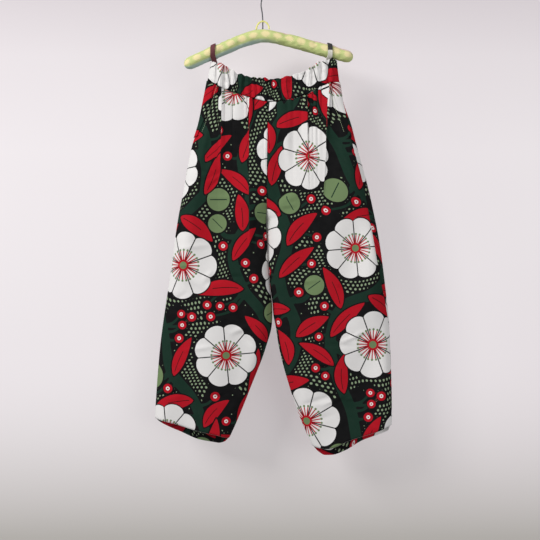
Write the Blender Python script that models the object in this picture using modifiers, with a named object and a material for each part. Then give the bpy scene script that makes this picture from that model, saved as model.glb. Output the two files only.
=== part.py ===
"""Barrel leg trousers hung from a padded hanger by their two waist loops.

Metres, +Z up. The front faces -Y, and +X is the wearer's left. The origin is where a rail
carries the hook, at the inside of its top. The garment is a set of thin cloth walls: two
pleated fronts and two backs, a gathered waistband in two halves, a facing behind each pocket
mouth, the hem turned up inside each leg and the two hanging loops. All panels are cut from
one surface, a flat ring of cloth at every height of each leg, so they meet at their seams.
"""

import math

import bpy
import numpy as np
from mathutils import Vector

# Cloth
CLOTH = 0.0012  # wall of a panel
SEAM_GAP = 0.0003  # between two sewn pieces
WAIST_GAP = 0.0009  # between the waistband and a panel, whose edges bend in longer steps
LAYER_GAP = 0.0012  # between a panel and the facing behind it
HEM_GAP = 0.0016  # between a panel and the hem turned up behind it
LEFT, RIGHT = 1, -1  # the wearer's sides, as signs of X
PANEL_ROWS = 22
BACK_COLUMNS = 10
EDGE_TURN = 0.026  # turn of the narrow column along each seam, where a panel is cut square

# The garment's sections, from the waist down. Distances in X are from the hook. right_out and
# left_out are the outline. right_in is the centre seam down to the crotch and the right inseam
# below it, and the left inseam is leg_gap further on. half_depth is half of the thickness front
# to back, and wrap is how far the left back comes forward past the outline to its side seam.
SECTION_COLUMNS = ("height", "right_out", "right_in", "leg_gap", "left_out", "half_depth", "wrap")
SECTIONS = (
    (-0.195, -0.1215, 0.0155, 0.0000, 0.1750, 0.0130, 0.000),
    (-0.250, -0.1315, 0.0155, 0.0000, 0.1815, 0.0130, 0.000),
    (-0.300, -0.1412, 0.0150, 0.0000, 0.1915, 0.0165, 0.003),
    (-0.350, -0.1515, 0.0120, 0.0000, 0.2090, 0.0210, 0.008),
    (-0.410, -0.1698, 0.0110, 0.0000, 0.2245, 0.0260, 0.011),
    (-0.500, -0.1865, 0.0095, 0.0000, 0.2492, 0.0310, 0.012),
    (-0.574, -0.2005, 0.0092, 0.0000, 0.2655, 0.0340, 0.015),
    (-0.620, -0.2075, 0.0100, 0.0010, 0.2745, 0.0350, 0.016),
    (-0.670, -0.2140, 0.0119, 0.0012, 0.2820, 0.0350, 0.015),
    (-0.730, -0.2225, 0.0160, 0.0014, 0.2895, 0.0350, 0.010),
    (-0.790, -0.2315, 0.0222, 0.0022, 0.2962, 0.0340, 0.004),
    (-0.820, -0.2360, 0.0224, 0.0058, 0.2990, 0.0330, 0.002),
    (-0.880, -0.2435, 0.0076, 0.0304, 0.3020, 0.0310, 0.001),
    (-0.970, -0.2510, -0.0266, 0.0885, 0.3052, 0.0270, 0.000),
    (-1.050, -0.2560, -0.0588, 0.1483, 0.3060, 0.0230, 0.000),
    (-1.145, -0.2595, -0.1030, 0.2350, 0.3060, 0.0210, 0.000),
)
ROLL = 1.3  # width of a rolled edge, in half depths
CROTCH = -0.574  # height where the four panels meet
FRONT_CURVE = 0.105  # height of the crotch curve up the front
BACK_CURVE = 0.150  # and up the back

# The waist hangs in a bow between its loops.
WAIST_COLUMNS = ("x", "seam", "top")
WAIST = (
    (-0.135, -0.2460, -0.2035),
    (-0.100, -0.2660, -0.2095),
    (-0.052, -0.2840, -0.2370),
    (0.022, -0.3010, -0.2465),
    (0.095, -0.2870, -0.2290),
    (0.137, -0.2640, -0.2060),
    (0.163, -0.2550, -0.1985),
    (0.185, -0.2530, -0.2050),
)
PUCKERS = 21  # gathers across each half of the waistband
PUCKER = 0.0014  # how far a gather stands out
BAND_ROWS = 3

# The height of each hem, by its share of the way round from the side: -1 is the inseam as
# met from the front, 0 the side and 1 the inseam as met from the back.
HEM_COLUMNS = ("share", "right", "left")
HEMS = (
    (-1.00, -1.0930, -1.1120),
    (-0.85, -1.0850, -1.1170),
    (-0.50, -1.0710, -1.0935),
    (-0.20, -1.0540, -1.0760),
    (0.00, -1.0460, -1.0620),
    (0.03, -1.0545, -1.0790),
    (0.15, -1.0700, -1.0905),
    (0.35, -1.0848, -1.1035),
    (0.60, -1.1008, -1.1262),
    (0.80, -1.1070, -1.1372),
    (0.89, -1.1090, -1.1380),
    (0.96, -1.1050, -1.1290),
    (1.00, -1.0930, -1.1120),
)
HEM_DEPTH = 0.024  # cloth turned up inside
HEM_COLUMNS_AROUND = 36

# Each front has two pleats, sewn into the waist and opening out below. Their folds point to
# the side seams.
PLEAT_COLUMNS = ("side", "x_at_waist", "x_at_foot", "foot")
PLEATS = (
    (RIGHT, -0.0310, -0.0310, -0.640),
    (RIGHT, -0.0970, -0.0990, -0.440),
    (LEFT, 0.1035, 0.1080, -0.520),
    (LEFT, 0.1590, 0.1400, -0.560),
)
PLEAT_HEIGHT = 0.0042  # how far a fold stands proud at the waist
PLEAT_REACH = 0.020  # cloth that rises to the fold
PLEAT_DROP = 0.0018  # width of the drop past the fold
FRONT_SPANS = (1, 4, 1, 1, 2, 1, 1, 6, 1)  # columns from the centre to the side, by pleat edges

# Slanted pocket mouths
POCKET_INSET = 0.013  # mouth to side seam, at the waist
POCKET_FOOT = -0.372  # height where the mouth meets the side seam
FACING_OVERLAP = 0.008  # facing behind the front, past the mouth
FACING_TAIL = 0.012  # and below its foot

# Hanging loops
LOOP_WIDTH = 0.0110
LOOP_X = {RIGHT: (-0.1125, -0.1175), LEFT: (0.1540, 0.1585)}  # at the waist and at the bar
LOOP_TUCK = 0.018  # length inside the waistband
LOOP_TUCK_Y = 0.0052
LOOP_EASE = 0.0005  # between a loop and the padded bar
LOOP_TURNS = 14  # steps over the bar

# Hanger
PAD_RADIUS = 0.0170
PAD_TOP = -0.1250
PAD_BEND = 0.030  # how softly its two arms meet
ARM_SLOPE = {RIGHT: 0.435, LEFT: 0.279}
ARM_REACH = {RIGHT: 0.1860, LEFT: 0.2140}
WIRE_RADIUS = 0.0015
HOOK_RADIUS = 0.0215  # to the middle of the wire
HOOK_START, HOOK_END = math.radians(-48), math.radians(212)
SHANK = ((0.0000, -0.1250), (0.0000, -0.1080), (-0.0012, -0.0880), (-0.0040, -0.0700),
         (-0.0030, -0.0580), (0.0010, -0.0480), (0.0075, -0.0405))  # x and height
RIBBON_RADIUS = 0.0022
RIBBON_SPAN = 0.0150
RIBBON_RISE = 0.0170
RIBBON_FORWARD = 0.0045


# ------------------------------------------------------------------ curves through the tables
def column(table, names, name):
    """One named column of a table, as numbers."""
    return np.array([row[names.index(name)] for row in table], dtype=float)


def smooth_curve(places, values):
    """A smooth function through a table's rows, which never swings past a row's value. The
    places may run up or down."""
    order = np.argsort(places)
    places, values = places[order], values[order]
    steps = np.diff(values) / np.diff(places)
    before, after = np.append(steps[0], steps), np.append(steps, steps[-1])
    turning = before * after <= 0
    slopes = np.where(turning, 0, 2 * before * after / np.where(turning, 1, before + after))

    def at(place):
        place = np.clip(place, places[0], places[-1])
        low = np.clip(np.searchsorted(places, place) - 1, 0, len(places) - 2)
        span = places[low + 1] - places[low]
        t = (place - places[low]) / span
        rise = 3 * t**2 - 2 * t**3
        return (values[low] * (1 - rise) + values[low + 1] * rise
                + span * (slopes[low] * t * (1 - t) ** 2 - slopes[low + 1] * t**2 * (1 - t)))

    return at


def section_curve(name):
    return smooth_curve(column(SECTIONS, SECTION_COLUMNS, "height"), column(SECTIONS, SECTION_COLUMNS, name))


def waist_curve(name):
    return smooth_curve(column(WAIST, WAIST_COLUMNS, "x"), column(WAIST, WAIST_COLUMNS, name))


OUTER = {RIGHT: section_curve("right_out"), LEFT: section_curve("left_out")}
CENTRE = section_curve("right_in")
LEG_GAP = section_curve("leg_gap")
HALF_DEPTH = section_curve("half_depth")
WRAP = section_curve("wrap")
WAIST_SEAM = waist_curve("seam")
WAIST_TOP = waist_curve("top")
HEM = {side: smooth_curve(column(HEMS, HEM_COLUMNS, "share"), column(HEMS, HEM_COLUMNS, name))
       for side, name in ((RIGHT, "right"), (LEFT, "left"))}


def rolled(distance, height):
    """How much of the half depth is reached at a distance in from a rolled edge."""
    inward = np.clip(distance / (ROLL * HALF_DEPTH(height)), 0, 1)
    return np.sqrt(1 - (1 - inward) ** 2)


# ------------------------------------------------------------------ one leg's surface
# A point's turn says where it is round the leg: -1 at the inner edge of the front, 0 at the
# outline and 1 at the inner edge of the back.
def across(turn):
    """Share of the leg's width between the outline and this turn."""
    return (1 - np.cos(np.pi * turn)) / 2


def inner_edge(side, height):
    """X of the centre seam, or of a leg's inseam below the crotch."""
    return CENTRE(height) + LEG_GAP(height) * (side == LEFT) + side * SEAM_GAP / 2


def turn_at(side, x, height):
    """The front's turn at a distance from the hook."""
    outer, inner = OUTER[side](height), inner_edge(side, height)
    return -np.arccos(np.clip(1 - 2 * (outer - x) / (outer - inner), -1, 1)) / np.pi


def height_at(side, turn, down):
    """Height of a point that is this share of the way down from the waist seam to the hem."""
    waist = WAIST_SEAM(0.0)
    for _ in range(5):  # the seam's height there depends on its place across, and that on it
        outer, inner = OUTER[side](waist), inner_edge(side, waist)
        waist = WAIST_SEAM(outer - (outer - inner) * across(turn))
    return waist * (1 - down) + HEM[side](np.sign(turn) * across(turn)) * down


def crotch_share(height, curve):
    """Share of the half depth at the centre seam: all of it, until the crotch curve starts."""
    below = np.clip((CROTCH + curve - height) / curve, 0, 1)
    return np.sqrt(1 - below**2)


def pleat_line(pleat, height):
    """X of a pleat's fold, and how far the fold stands proud there. Below its foot the line
    keeps its share of the leg's width."""
    side, x_waist, x_foot, foot = pleat
    waist = WAIST_SEAM(x_waist)
    down = np.clip((waist - height) / (waist - foot), 0, 1)
    share = (x_foot - inner_edge(side, foot)) / (OUTER[side](foot) - inner_edge(side, foot))
    outer, inner = OUTER[side](height), inner_edge(side, height)
    x = np.where(height > foot, x_waist + (x_foot - x_waist) * down, inner + (outer - inner) * share)
    return x, PLEAT_HEIGHT * (1 - down) ** 0.7


def pleat_rise(side, x, height):
    """Cloth stands proud of the front by this much."""
    rise = np.zeros_like(x)
    for pleat in PLEATS:
        if pleat[0] != side:
            continue
        fold, proud = pleat_line(pleat, height)
        past = side * (x - fold)
        rise += proud * np.interp(past, (-PLEAT_REACH, 0, PLEAT_DROP), (0, 1, 0), left=0, right=0)
    return rise


def leg_point(side, turn, height):
    """Points of the leg's outer face."""
    outer, inner = OUTER[side](height), inner_edge(side, height)
    x = outer - (outer - inner) * across(turn)
    curve = np.where(turn < 0, FRONT_CURVE, BACK_CURVE)
    centre = crotch_share(height, curve)
    depth = HALF_DEPTH(height) * rolled(np.abs(outer - x), height)
    depth *= centre + (1 - centre) * rolled(np.abs(x - inner), height)
    front = turn < 0
    depth += np.where(front, pleat_rise(side, x, height), 0)
    return np.stack([x, np.where(front, -depth, depth), height], axis=-1)


def side_seam_turn(side, height):
    wrap = WRAP(height) if side == LEFT else np.zeros_like(height)
    return turn_at(side, OUTER[side](height) - side * wrap, height)


# ------------------------------------------------------------------ grids of points
def pulled_in(grid, gap=0.7 * SEAM_GAP):
    """The grid with its four borders drawn in, which leaves the seam gap to its neighbours."""
    grid = grid.copy()
    for rows in (grid, grid.swapaxes(0, 1)):
        for edge, inside in ((0, 1), (-1, -2)):
            towards = rows[inside] - rows[edge]
            rows[edge] += gap * towards / np.linalg.norm(towards, axis=-1, keepdims=True)
    return grid


def moved_in(grid, distance, around=False):
    """The grid moved along its own normals, to the side away from its outer face."""
    if around:
        along = np.roll(grid, -1, axis=1) - np.roll(grid, 1, axis=1)
    else:
        along = np.gradient(grid, axis=1)
    normal = np.cross(along, np.gradient(grid, axis=0))
    return grid - distance * normal / np.linalg.norm(normal, axis=-1, keepdims=True)


def spans(knots, counts):
    """Stops that fill the spans between neighbouring knots, which are rows of equal length."""
    stops = [knots[0]]
    for low, high, count in zip(knots, knots[1:], counts):
        stops += [low + (high - low) * step / count for step in range(1, count + 1)]
    return np.stack(stops, axis=-1)


def pocket_edge(side, height):
    """X of the front's outer edge: the side seam, or the pocket mouth above its foot."""
    seam = OUTER[side](height) - side * (WRAP(height) if side == LEFT else 0)
    up = np.clip((height - POCKET_FOOT) / (WAIST_SEAM(seam) - POCKET_FOOT), 0, 1)
    return seam - side * POCKET_INSET * up


def front_grid(side):
    """The front's outer face, with a column on each edge of each pleat."""
    down = np.linspace(0, 1, PANEL_ROWS + 1)
    turn = np.linspace(-1, 0, sum(FRONT_SPANS) + 1)[None, :]
    height = height_at(side, turn, down[:, None])
    for _ in range(4):  # a column's height and its turn depend on each other
        middle = height[:, len(FRONT_SPANS)]
        knots = [np.full_like(middle, -1.0), np.full_like(middle, EDGE_TURN - 1)]
        for pleat in PLEATS:
            if pleat[0] == side:
                fold, _ = pleat_line(pleat, middle)
                for past in (-PLEAT_REACH, 0, PLEAT_DROP):
                    knots.append(turn_at(side, fold + side * past, middle))
        end = turn_at(side, pocket_edge(side, height[:, -1]), height[:, -1])
        knots += [end - EDGE_TURN, end]
        turn = spans(knots, FRONT_SPANS)
        height = height_at(side, turn, down[:, None])
    return leg_point(side, turn, height)


def back_grid(side):
    """The back's outer face, from the side seam to the centre."""
    down = np.linspace(0, 1, PANEL_ROWS + 1)[:, None]
    turn = np.zeros_like(down)
    for _ in range(4):
        seam = side_seam_turn(side, height_at(side, turn[:, :1], down))[:, 0]
        knots = [seam, seam + EDGE_TURN, 0 * seam + 1 - EDGE_TURN, 0 * seam + 1]
        turn = spans(knots, (1, BACK_COLUMNS, 1))
    return leg_point(side, turn, height_at(side, turn, down))


def facing_grid(side):
    """The cloth behind a pocket mouth, from the side seam to past the mouth."""
    rows, columns = 7, 4
    seam_x = OUTER[side](POCKET_FOOT)
    height = np.linspace(WAIST_SEAM(seam_x), POCKET_FOOT - FACING_TAIL, rows)[:, None]
    share = np.linspace(0, 1, columns)[None, :]
    inner = pocket_edge(side, height) - side * FACING_OVERLAP
    start, end = turn_at(side, inner, height), side_seam_turn(side, height)
    turn = start + (end - start) * share
    lift = (WAIST_SEAM(leg_point(side, turn[:1], height[:1] + 0 * share)[..., 0]) - height[0])
    height = height + lift * np.linspace(1, 0, rows)[:, None]
    return moved_in(leg_point(side, turn, height), side * (CLOTH + LAYER_GAP))


def band_grid(front):
    """Half of the waistband, gathered."""
    share = np.linspace(0, 1, 2 * PUCKERS + 1)[None, :]
    up = np.linspace(0, 1, BAND_ROWS + 1)[:, None]
    height = WAIST_SEAM(0.0) + 0 * share * up
    for _ in range(6):
        right, left = OUTER[RIGHT](height), OUTER[LEFT](height)
        x = (right + left) / 2 - (left - right) / 2 * np.cos(np.pi * share)
        height = (WAIST_SEAM(x) + WAIST_GAP) * (1 - up) + WAIST_TOP(x) * up
    depth = HALF_DEPTH(height) * rolled(x - right, height) * rolled(left - x, height)
    ripple = np.where(np.arange(2 * PUCKERS + 1) % 2, 1.0, 0.0)[None, :]
    near_side = np.clip(np.minimum(x - right, left - x) / 0.020 - 0.5, 0, 1)
    depth = depth + PUCKER * ripple * near_side
    return np.stack([x, -depth if front else depth, height], axis=-1)


def hem_grid(side):
    """The hem turned up inside a leg, right round it."""
    turn = np.linspace(-1, 1, HEM_COLUMNS_AROUND, endpoint=False)[None, :]
    bottom = height_at(side, turn, 1.0)
    height = np.concatenate([bottom, bottom + HEM_DEPTH / 2, bottom + HEM_DEPTH])
    grid = leg_point(side, turn + 0 * height, height)
    grid = moved_in(grid, side * (CLOTH + HEM_GAP), around=True)
    grid[..., 2] = height
    return grid


# ------------------------------------------------------------------ objects
def new_collection(name):
    made = bpy.data.collections.new(name)
    bpy.context.scene.collection.children.link(made)
    return made


def material(name, colour, roughness, metallic=0.0):
    made = bpy.data.materials.new(name)
    made.use_nodes = True
    shader = made.node_tree.nodes["Principled BSDF"]
    shader.inputs["Base Color"].default_value = (*colour, 1.0)
    shader.inputs["Roughness"].default_value = roughness
    shader.inputs["Metallic"].default_value = metallic
    return made


def add_object(name, data, finish):
    made = bpy.data.objects.new(name, data)
    data.materials.append(finish)
    garment.objects.link(made)
    return made


def cloth_wall(name, grid, finish, outward=None, around=False):
    """A wall of cloth on a grid of points, whose outer face looks the way that outward points,
    or away from the middle of a ring."""
    rows, columns = grid.shape[:2]
    faces = []
    for row in range(rows - 1):
        for this in range(columns if around else columns - 1):
            after = (this + 1) % columns
            faces.append((row * columns + this, row * columns + after,
                          (row + 1) * columns + after, (row + 1) * columns + this))
    mesh = bpy.data.meshes.new(name)
    mesh.from_pydata([tuple(point) for point in grid.reshape(-1, 3)], [], faces)
    mesh.update()
    middle = Vector(grid.reshape(-1, 3).mean(axis=0))
    away = [(face.center - middle) if around else Vector(outward) for face in mesh.polygons]
    if sum(face.area * face.normal.dot(ray) for face, ray in zip(mesh.polygons, away)) < 0:
        mesh.flip_normals()
    made = add_object(name, mesh, finish)
    wall = made.modifiers.new("cloth", "SOLIDIFY")
    wall.thickness = CLOTH
    wall.offset = -1
    return made


def wire(name, points, radius, finish, radii=None, sides=2):
    """A round bar along a line of points, thinner where radii say so."""
    curve = bpy.data.curves.new(name, "CURVE")
    curve.dimensions = "3D"
    curve.bevel_depth = radius
    curve.bevel_resolution = sides
    curve.use_fill_caps = True
    spline = curve.splines.new("POLY")
    spline.points.add(len(points) - 1)
    for number, (spot, place) in enumerate(zip(spline.points, points)):
        spot.co = (*place, 1.0)
        spot.radius = radii[number] if radii is not None else 1.0
    return add_object(name, curve, finish)


def arm_height(x):
    """Height of the middle of the hanger's padded bar."""
    slope = np.where(x < 0, ARM_SLOPE[RIGHT], ARM_SLOPE[LEFT])
    return PAD_TOP - PAD_RADIUS - slope * (np.sqrt(x**2 + PAD_BEND**2) - PAD_BEND)


def hanger_pad(finish):
    """The padded bar, with ends rounded by thinner and thinner rings."""
    ends = {side: side * (ARM_REACH[side] - PAD_RADIUS) for side in (RIGHT, LEFT)}
    x = np.linspace(ends[RIGHT], ends[LEFT], 19)
    cap = np.radians((86, 65, 42, 20))
    right_cap = ends[RIGHT] - PAD_RADIUS * np.sin(cap)
    left_cap = (ends[LEFT] + PAD_RADIUS * np.sin(cap))[::-1]
    radii = np.concatenate([np.cos(cap), np.ones_like(x), np.cos(cap)[::-1]])
    x = np.concatenate([right_cap, x, left_cap])
    points = np.stack([x, 0 * x, arm_height(x)], axis=-1)
    return wire("hanger_pad", points, PAD_RADIUS, finish, radii, sides=4)


def hanger_hook(finish):
    """The shank rises from the pad, leans a little, and turns over the rail."""
    centre = WIRE_RADIUS - HOOK_RADIUS
    turns = np.linspace(HOOK_START, HOOK_END, 26)
    points = [(x, 0.0, height) for x, height in SHANK]
    points += [(HOOK_RADIUS * math.cos(a), 0.0, centre + HOOK_RADIUS * math.sin(a)) for a in turns]
    return wire("hanger_hook", points, WIRE_RADIUS, finish)


def hanger_ribbon(finish):
    """A loop of ribbon that stands on the pad in front of the hook."""
    turns = np.linspace(0, math.pi, 15)
    x = RIBBON_SPAN * np.cos(turns)
    foot = arm_height(x) + math.sqrt(PAD_RADIUS**2 - RIBBON_FORWARD**2) + SEAM_GAP
    height = foot + RIBBON_RISE * np.sin(turns)
    points = np.stack([x, np.full_like(x, -RIBBON_FORWARD), height], axis=-1)
    return wire("hanger_ribbon", points, RIBBON_RADIUS, finish)


def hanging_loop(name, side, finish):
    """A strip sewn inside the waistband, up over the padded bar and down again."""
    low_x, bar_x = LOOP_X[side]
    band_top = float(WAIST_TOP(low_x))
    bar = float(arm_height(np.array(bar_x)))
    half = LOOP_WIDTH / 2
    slope = float(arm_height(np.array(bar_x + half)) - arm_height(np.array(bar_x - half))) / LOOP_WIDTH
    reach = PAD_RADIUS + CLOTH + LOOP_EASE
    rise = PAD_RADIUS * math.hypot(1, slope) + CLOTH + LOOP_EASE
    drop = bar - band_top
    touch = math.acos(reach / math.hypot(drop, LOOP_TUCK_Y)) - math.atan2(drop, LOOP_TUCK_Y)
    turns = np.linspace(touch, math.pi - touch, LOOP_TURNS)
    path = [(low_x, -LOOP_TUCK_Y, band_top - LOOP_TUCK), (low_x, -LOOP_TUCK_Y, band_top)]
    path += [(bar_x, -reach * math.cos(a), bar + rise * math.sin(a)) for a in turns]
    path += [(low_x, LOOP_TUCK_Y, band_top), (low_x, LOOP_TUCK_Y, band_top - LOOP_TUCK)]
    grid = [[(x + edge * half, y, height + edge * half * slope * (x == bar_x)) for edge in (-1, 1)]
            for x, y, height in path]
    return cloth_wall(name, np.array(grid), finish, (0, 0, 1))


for old in list(bpy.data.objects):
    bpy.data.objects.remove(old, do_unlink=True)
garment = new_collection("barrel_leg_trousers")

FRONT, BACK = (0, -1, 0), (0, 1, 0)
for side, word in ((RIGHT, "right"), (LEFT, "left")):
    cotton = material(f"cotton_{word}", (0.05, 0.09, 0.06), 0.85)
    cloth_wall(f"front_{word}", pulled_in(front_grid(side)), cotton, FRONT)
    cloth_wall(f"back_{word}", pulled_in(back_grid(side)), cotton, BACK)
    facing = material(f"facing_{word}", (0.04, 0.08, 0.06), 0.85)
    cloth_wall(f"pocket_facing_{word}", pulled_in(facing_grid(side)), facing, FRONT)
    turned = material(f"hem_{word}", (0.10, 0.16, 0.10), 0.85)
    cloth_wall(f"hem_{word}", hem_grid(side), turned, around=True)
    strip = material(f"loop_{word}", (0.25, 0.02, 0.03), 0.85)
    hanging_loop(f"hanging_loop_{word}", side, strip)

gathered = material("gathered_cotton", (0.30, 0.05, 0.06), 0.85)
cloth_wall("waistband_front", pulled_in(band_grid(True), SEAM_GAP), gathered, FRONT)
cloth_wall("waistband_back", pulled_in(band_grid(False), SEAM_GAP), gathered, BACK)

hanger_pad(material("padded_cover", (0.62, 0.70, 0.28), 0.7))
hanger_hook(material("dark_wire", (0.10, 0.10, 0.11), 0.35, 1.0))
hanger_ribbon(material("ribbon", (0.75, 0.72, 0.20), 0.6))
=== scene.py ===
# %% [markdown]
# # Barrel leg trousers on a padded hanger
#
# These trousers hang flat from a padded hanger by two waist loops. The cloth is a printed cotton,
# pleated and gathered into an elastic waist, so nearly every look depends on where the cloth was
# cut and folded. The packed solids give every place and size. Each panel is then remade as a fine
# sheet on the form of its solid, with its folds, its seams and its share of the print.

# %% Load the packed model
import math

import bpy
import numpy as np
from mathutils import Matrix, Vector
from mathutils.bvhtree import BVHTree


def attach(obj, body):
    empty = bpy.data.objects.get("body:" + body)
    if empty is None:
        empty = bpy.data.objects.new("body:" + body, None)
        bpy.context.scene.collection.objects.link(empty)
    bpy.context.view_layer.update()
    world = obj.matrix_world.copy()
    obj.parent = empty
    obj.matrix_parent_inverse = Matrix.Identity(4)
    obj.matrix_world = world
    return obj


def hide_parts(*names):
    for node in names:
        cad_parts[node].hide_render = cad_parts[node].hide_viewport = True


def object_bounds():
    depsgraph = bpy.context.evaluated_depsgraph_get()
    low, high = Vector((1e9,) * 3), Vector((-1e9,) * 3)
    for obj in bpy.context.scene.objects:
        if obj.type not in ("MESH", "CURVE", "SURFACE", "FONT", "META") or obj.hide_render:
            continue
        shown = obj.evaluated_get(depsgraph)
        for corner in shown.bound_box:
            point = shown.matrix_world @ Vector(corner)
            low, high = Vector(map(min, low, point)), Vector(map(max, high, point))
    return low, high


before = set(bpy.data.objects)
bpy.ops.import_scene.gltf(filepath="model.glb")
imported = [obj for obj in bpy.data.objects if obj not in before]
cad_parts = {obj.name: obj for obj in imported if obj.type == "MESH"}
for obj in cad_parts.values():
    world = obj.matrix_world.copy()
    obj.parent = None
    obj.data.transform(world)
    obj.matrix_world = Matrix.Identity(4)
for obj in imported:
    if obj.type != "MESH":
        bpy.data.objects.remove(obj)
cad_low, cad_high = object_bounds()

print("nodes", len(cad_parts), "box", [round(v, 3) for v in (*cad_low, *cad_high)])

# %% [markdown]
# ## Camera and lamps
#
# The trousers are seen straight on, from chest height, by a lens that hardly bends them. One soft
# lamp, up in front and to the left, does most of the work, as a window does in a room. A sun lamp
# would draw a hard shadow of every fold, so all three lamps are wide squares. A weak one fills the
# shadows from the right, and one behind lights the views from there.

# %% Camera
PICTURE_HEIGHT = 1.280  # what the picture takes in, at the trousers
ROOM_BELOW = 0.198  # from the lowest hem down to the picture's foot
STAND_LEFT = 0.008  # the camera stands this far left of the middle
LENS = 50.0
SENSOR = 36.0
camera = bpy.data.objects.new("camera", bpy.data.cameras.new("camera"))
camera.data.lens = LENS
camera.data.sensor_width = SENSOR
aim_height = cad_low.z - ROOM_BELOW + PICTURE_HEIGHT / 2
aim_across = (cad_low.x + cad_high.x) / 2 - STAND_LEFT
camera.location = (aim_across, -PICTURE_HEIGHT * LENS / SENSOR, aim_height)
camera.rotation_euler = (math.radians(90), 0, 0)
bpy.context.scene.collection.objects.link(camera)
bpy.context.scene.camera = camera
bpy.context.scene.view_settings.view_transform = "Standard"
print("camera at", [round(v, 3) for v in camera.location])

# %% Lamps
LAMPS = (  # name, place with its height over the picture's middle, size, watts
    ("key", (-3.1, -2.4, 2.5), 1.6, 177),
    ("fill", (2.4, -3.0, 0.4), 2.4, 38),
    ("back", (0.9, 2.9, 1.4), 2.2, 62),
)
middle = Vector((aim_across, 0, aim_height))
for name, (x, y, up), size, watts in LAMPS:
    lamp = bpy.data.objects.new(name, bpy.data.lights.new(name, "AREA"))
    lamp.data.size = size
    lamp.data.energy = watts
    lamp.location = (x, y, aim_height + up)
    lamp.rotation_euler = (middle - lamp.location).to_track_quat("-Z", "Y").to_euler()
    bpy.context.scene.collection.objects.link(lamp)
print("lamps", [name for name, *_ in LAMPS])

# %% [markdown]
# ## Shader sums as Python
#
# A cloth print is a long chain of small sums: how far is this point from that leaf's edge, and on
# which side of the line. Written node by node it would be unreadable. The class below wraps one
# output of a node, so that a plain expression such as 1 - mask adds the Math nodes by itself.


# %% A socket that can be written in sums
def math_node(operation, flipped=False):
    """A method that adds one Math node, with its own term first, or last when flipped."""
    def method(term, *others):
        return term.work(operation, *((*others, term) if flipped else (term, *others)))
    return method


class Term:
    """One output of a node. Sums, products and comparisons with it add Math nodes."""

    def __init__(self, shade, socket):
        self.shade, self.socket = shade, socket

    def work(self, operation, *values, clamp=False):
        settings = {"operation": operation, "use_clamp": clamp}
        return self.shade.add("ShaderNodeMath", settings, dict(enumerate(values)))

    __add__, __radd__ = math_node("ADD"), math_node("ADD", flipped=True)
    __sub__, __rsub__ = math_node("SUBTRACT"), math_node("SUBTRACT", flipped=True)
    __mul__, __rmul__ = math_node("MULTIPLY"), math_node("MULTIPLY", flipped=True)
    __truediv__, __mod__ = math_node("DIVIDE"), math_node("FLOORED_MODULO")
    __abs__, sine, root = math_node("ABSOLUTE"), math_node("SINE"), math_node("SQRT")
    lower, higher, angle = math_node("MINIMUM"), math_node("MAXIMUM"), math_node("ARCTAN2")

    def below(self, edge, soft):
        """1 where this is under the edge and 0 where it is over, with a short ramp between."""
        return self.work("MULTIPLY_ADD", edge - self, 1 / (2 * soft), 0.5, clamp=True)


print("a term also knows", [word for word in vars(Term) if not word.startswith("_")])

# %% Nodes of any kind
class Nodes:
    """A tree of nodes. Every node in it comes from add()."""

    def __init__(self, tree):
        self.tree = tree

    def plug(self, socket, value):
        if isinstance(value, Term):
            self.tree.links.new(value.socket, socket)
        else:
            socket.default_value = value

    def add(self, kind, settings=None, sockets=None, out=0):
        node = self.tree.nodes.new(kind)
        for name, value in (settings or {}).items():
            setattr(node, name, value)
        for name, value in (sockets or {}).items():
            self.plug(node.inputs[name], value)
        return Term(self, node.outputs[out])


print("a tree of nodes has", [word for word in vars(Nodes) if not word.startswith("_")])


# %% A material built from such sums
class Shade(Nodes):
    """A material. Its surface is one Principled shader."""

    def __init__(self, name, roughness=0.8, metallic=0.0):
        self.material = bpy.data.materials.new(name)
        self.material.use_nodes = True
        super().__init__(self.material.node_tree)
        self.surface = self.tree.nodes["Principled BSDF"]
        self.surface.inputs["Roughness"].default_value = roughness
        self.surface.inputs["Metallic"].default_value = metallic

    def feed(self, name, value):
        """Leads a value to one socket of the surface."""
        self.plug(self.surface.inputs[name], value)

    def mix(self, base, colour, mask):
        """The base colour, covered by another one where the mask is 1."""
        settings = {"data_type": "RGBA", "clamp_factor": True}
        return self.add("ShaderNodeMix", settings, {0: mask, 6: base, 7: colour}, out=2)

    def vector(self, attribute):
        """The vector that every point of the mesh carries under this name."""
        return self.add("ShaderNodeAttribute", {"attribute_name": attribute}, out=1)

    def parts(self, vector):
        first = self.add("ShaderNodeSeparateXYZ", {}, {0: vector})
        return [Term(self, socket) for socket in first.socket.node.outputs]

    def read(self, attribute):
        return self.parts(self.vector(attribute))

    def place(self):
        """The point's own place on its object."""
        return self.add("ShaderNodeTexCoord", out=3)

    def noise(self, place, scale, detail=2.0):
        sockets = {"Vector": place, "Scale": scale, "Detail": detail}
        return self.add("ShaderNodeTexNoise", {}, sockets)

    def bump(self, height, strength, distance):
        sockets = {"Strength": strength, "Distance": distance, "Height": height}
        self.feed("Normal", self.add("ShaderNodeBump", {}, sockets))


def paint(code):
    """A colour that is written as six hex digits, in the linear values that shaders use."""
    parts = [int(code[start:start + 2], 16) / 255 for start in (0, 2, 4)]
    return (*(c / 12.92 if c <= 0.04045 else ((c + 0.055) / 1.055) ** 2.4 for c in parts), 1.0)


print("middle grey is", round(paint("808080")[0], 3), "to a shader")

# %% [markdown]
# ## Wall and world
#
# The wall is pale plaster that darkens softly towards its foot and its top. A lamp could draw that
# shade, but it would light the cloth too, so the paint is shaded by height. It also gives off a
# light of its own colour, which stands for what a pale room throws back.
#
# An ordinary plane would hide the trousers in every view from behind. So the wall's material lets
# through every ray except those from the camera that meet its front, and the world shows the
# camera a pale grey there.

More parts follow.
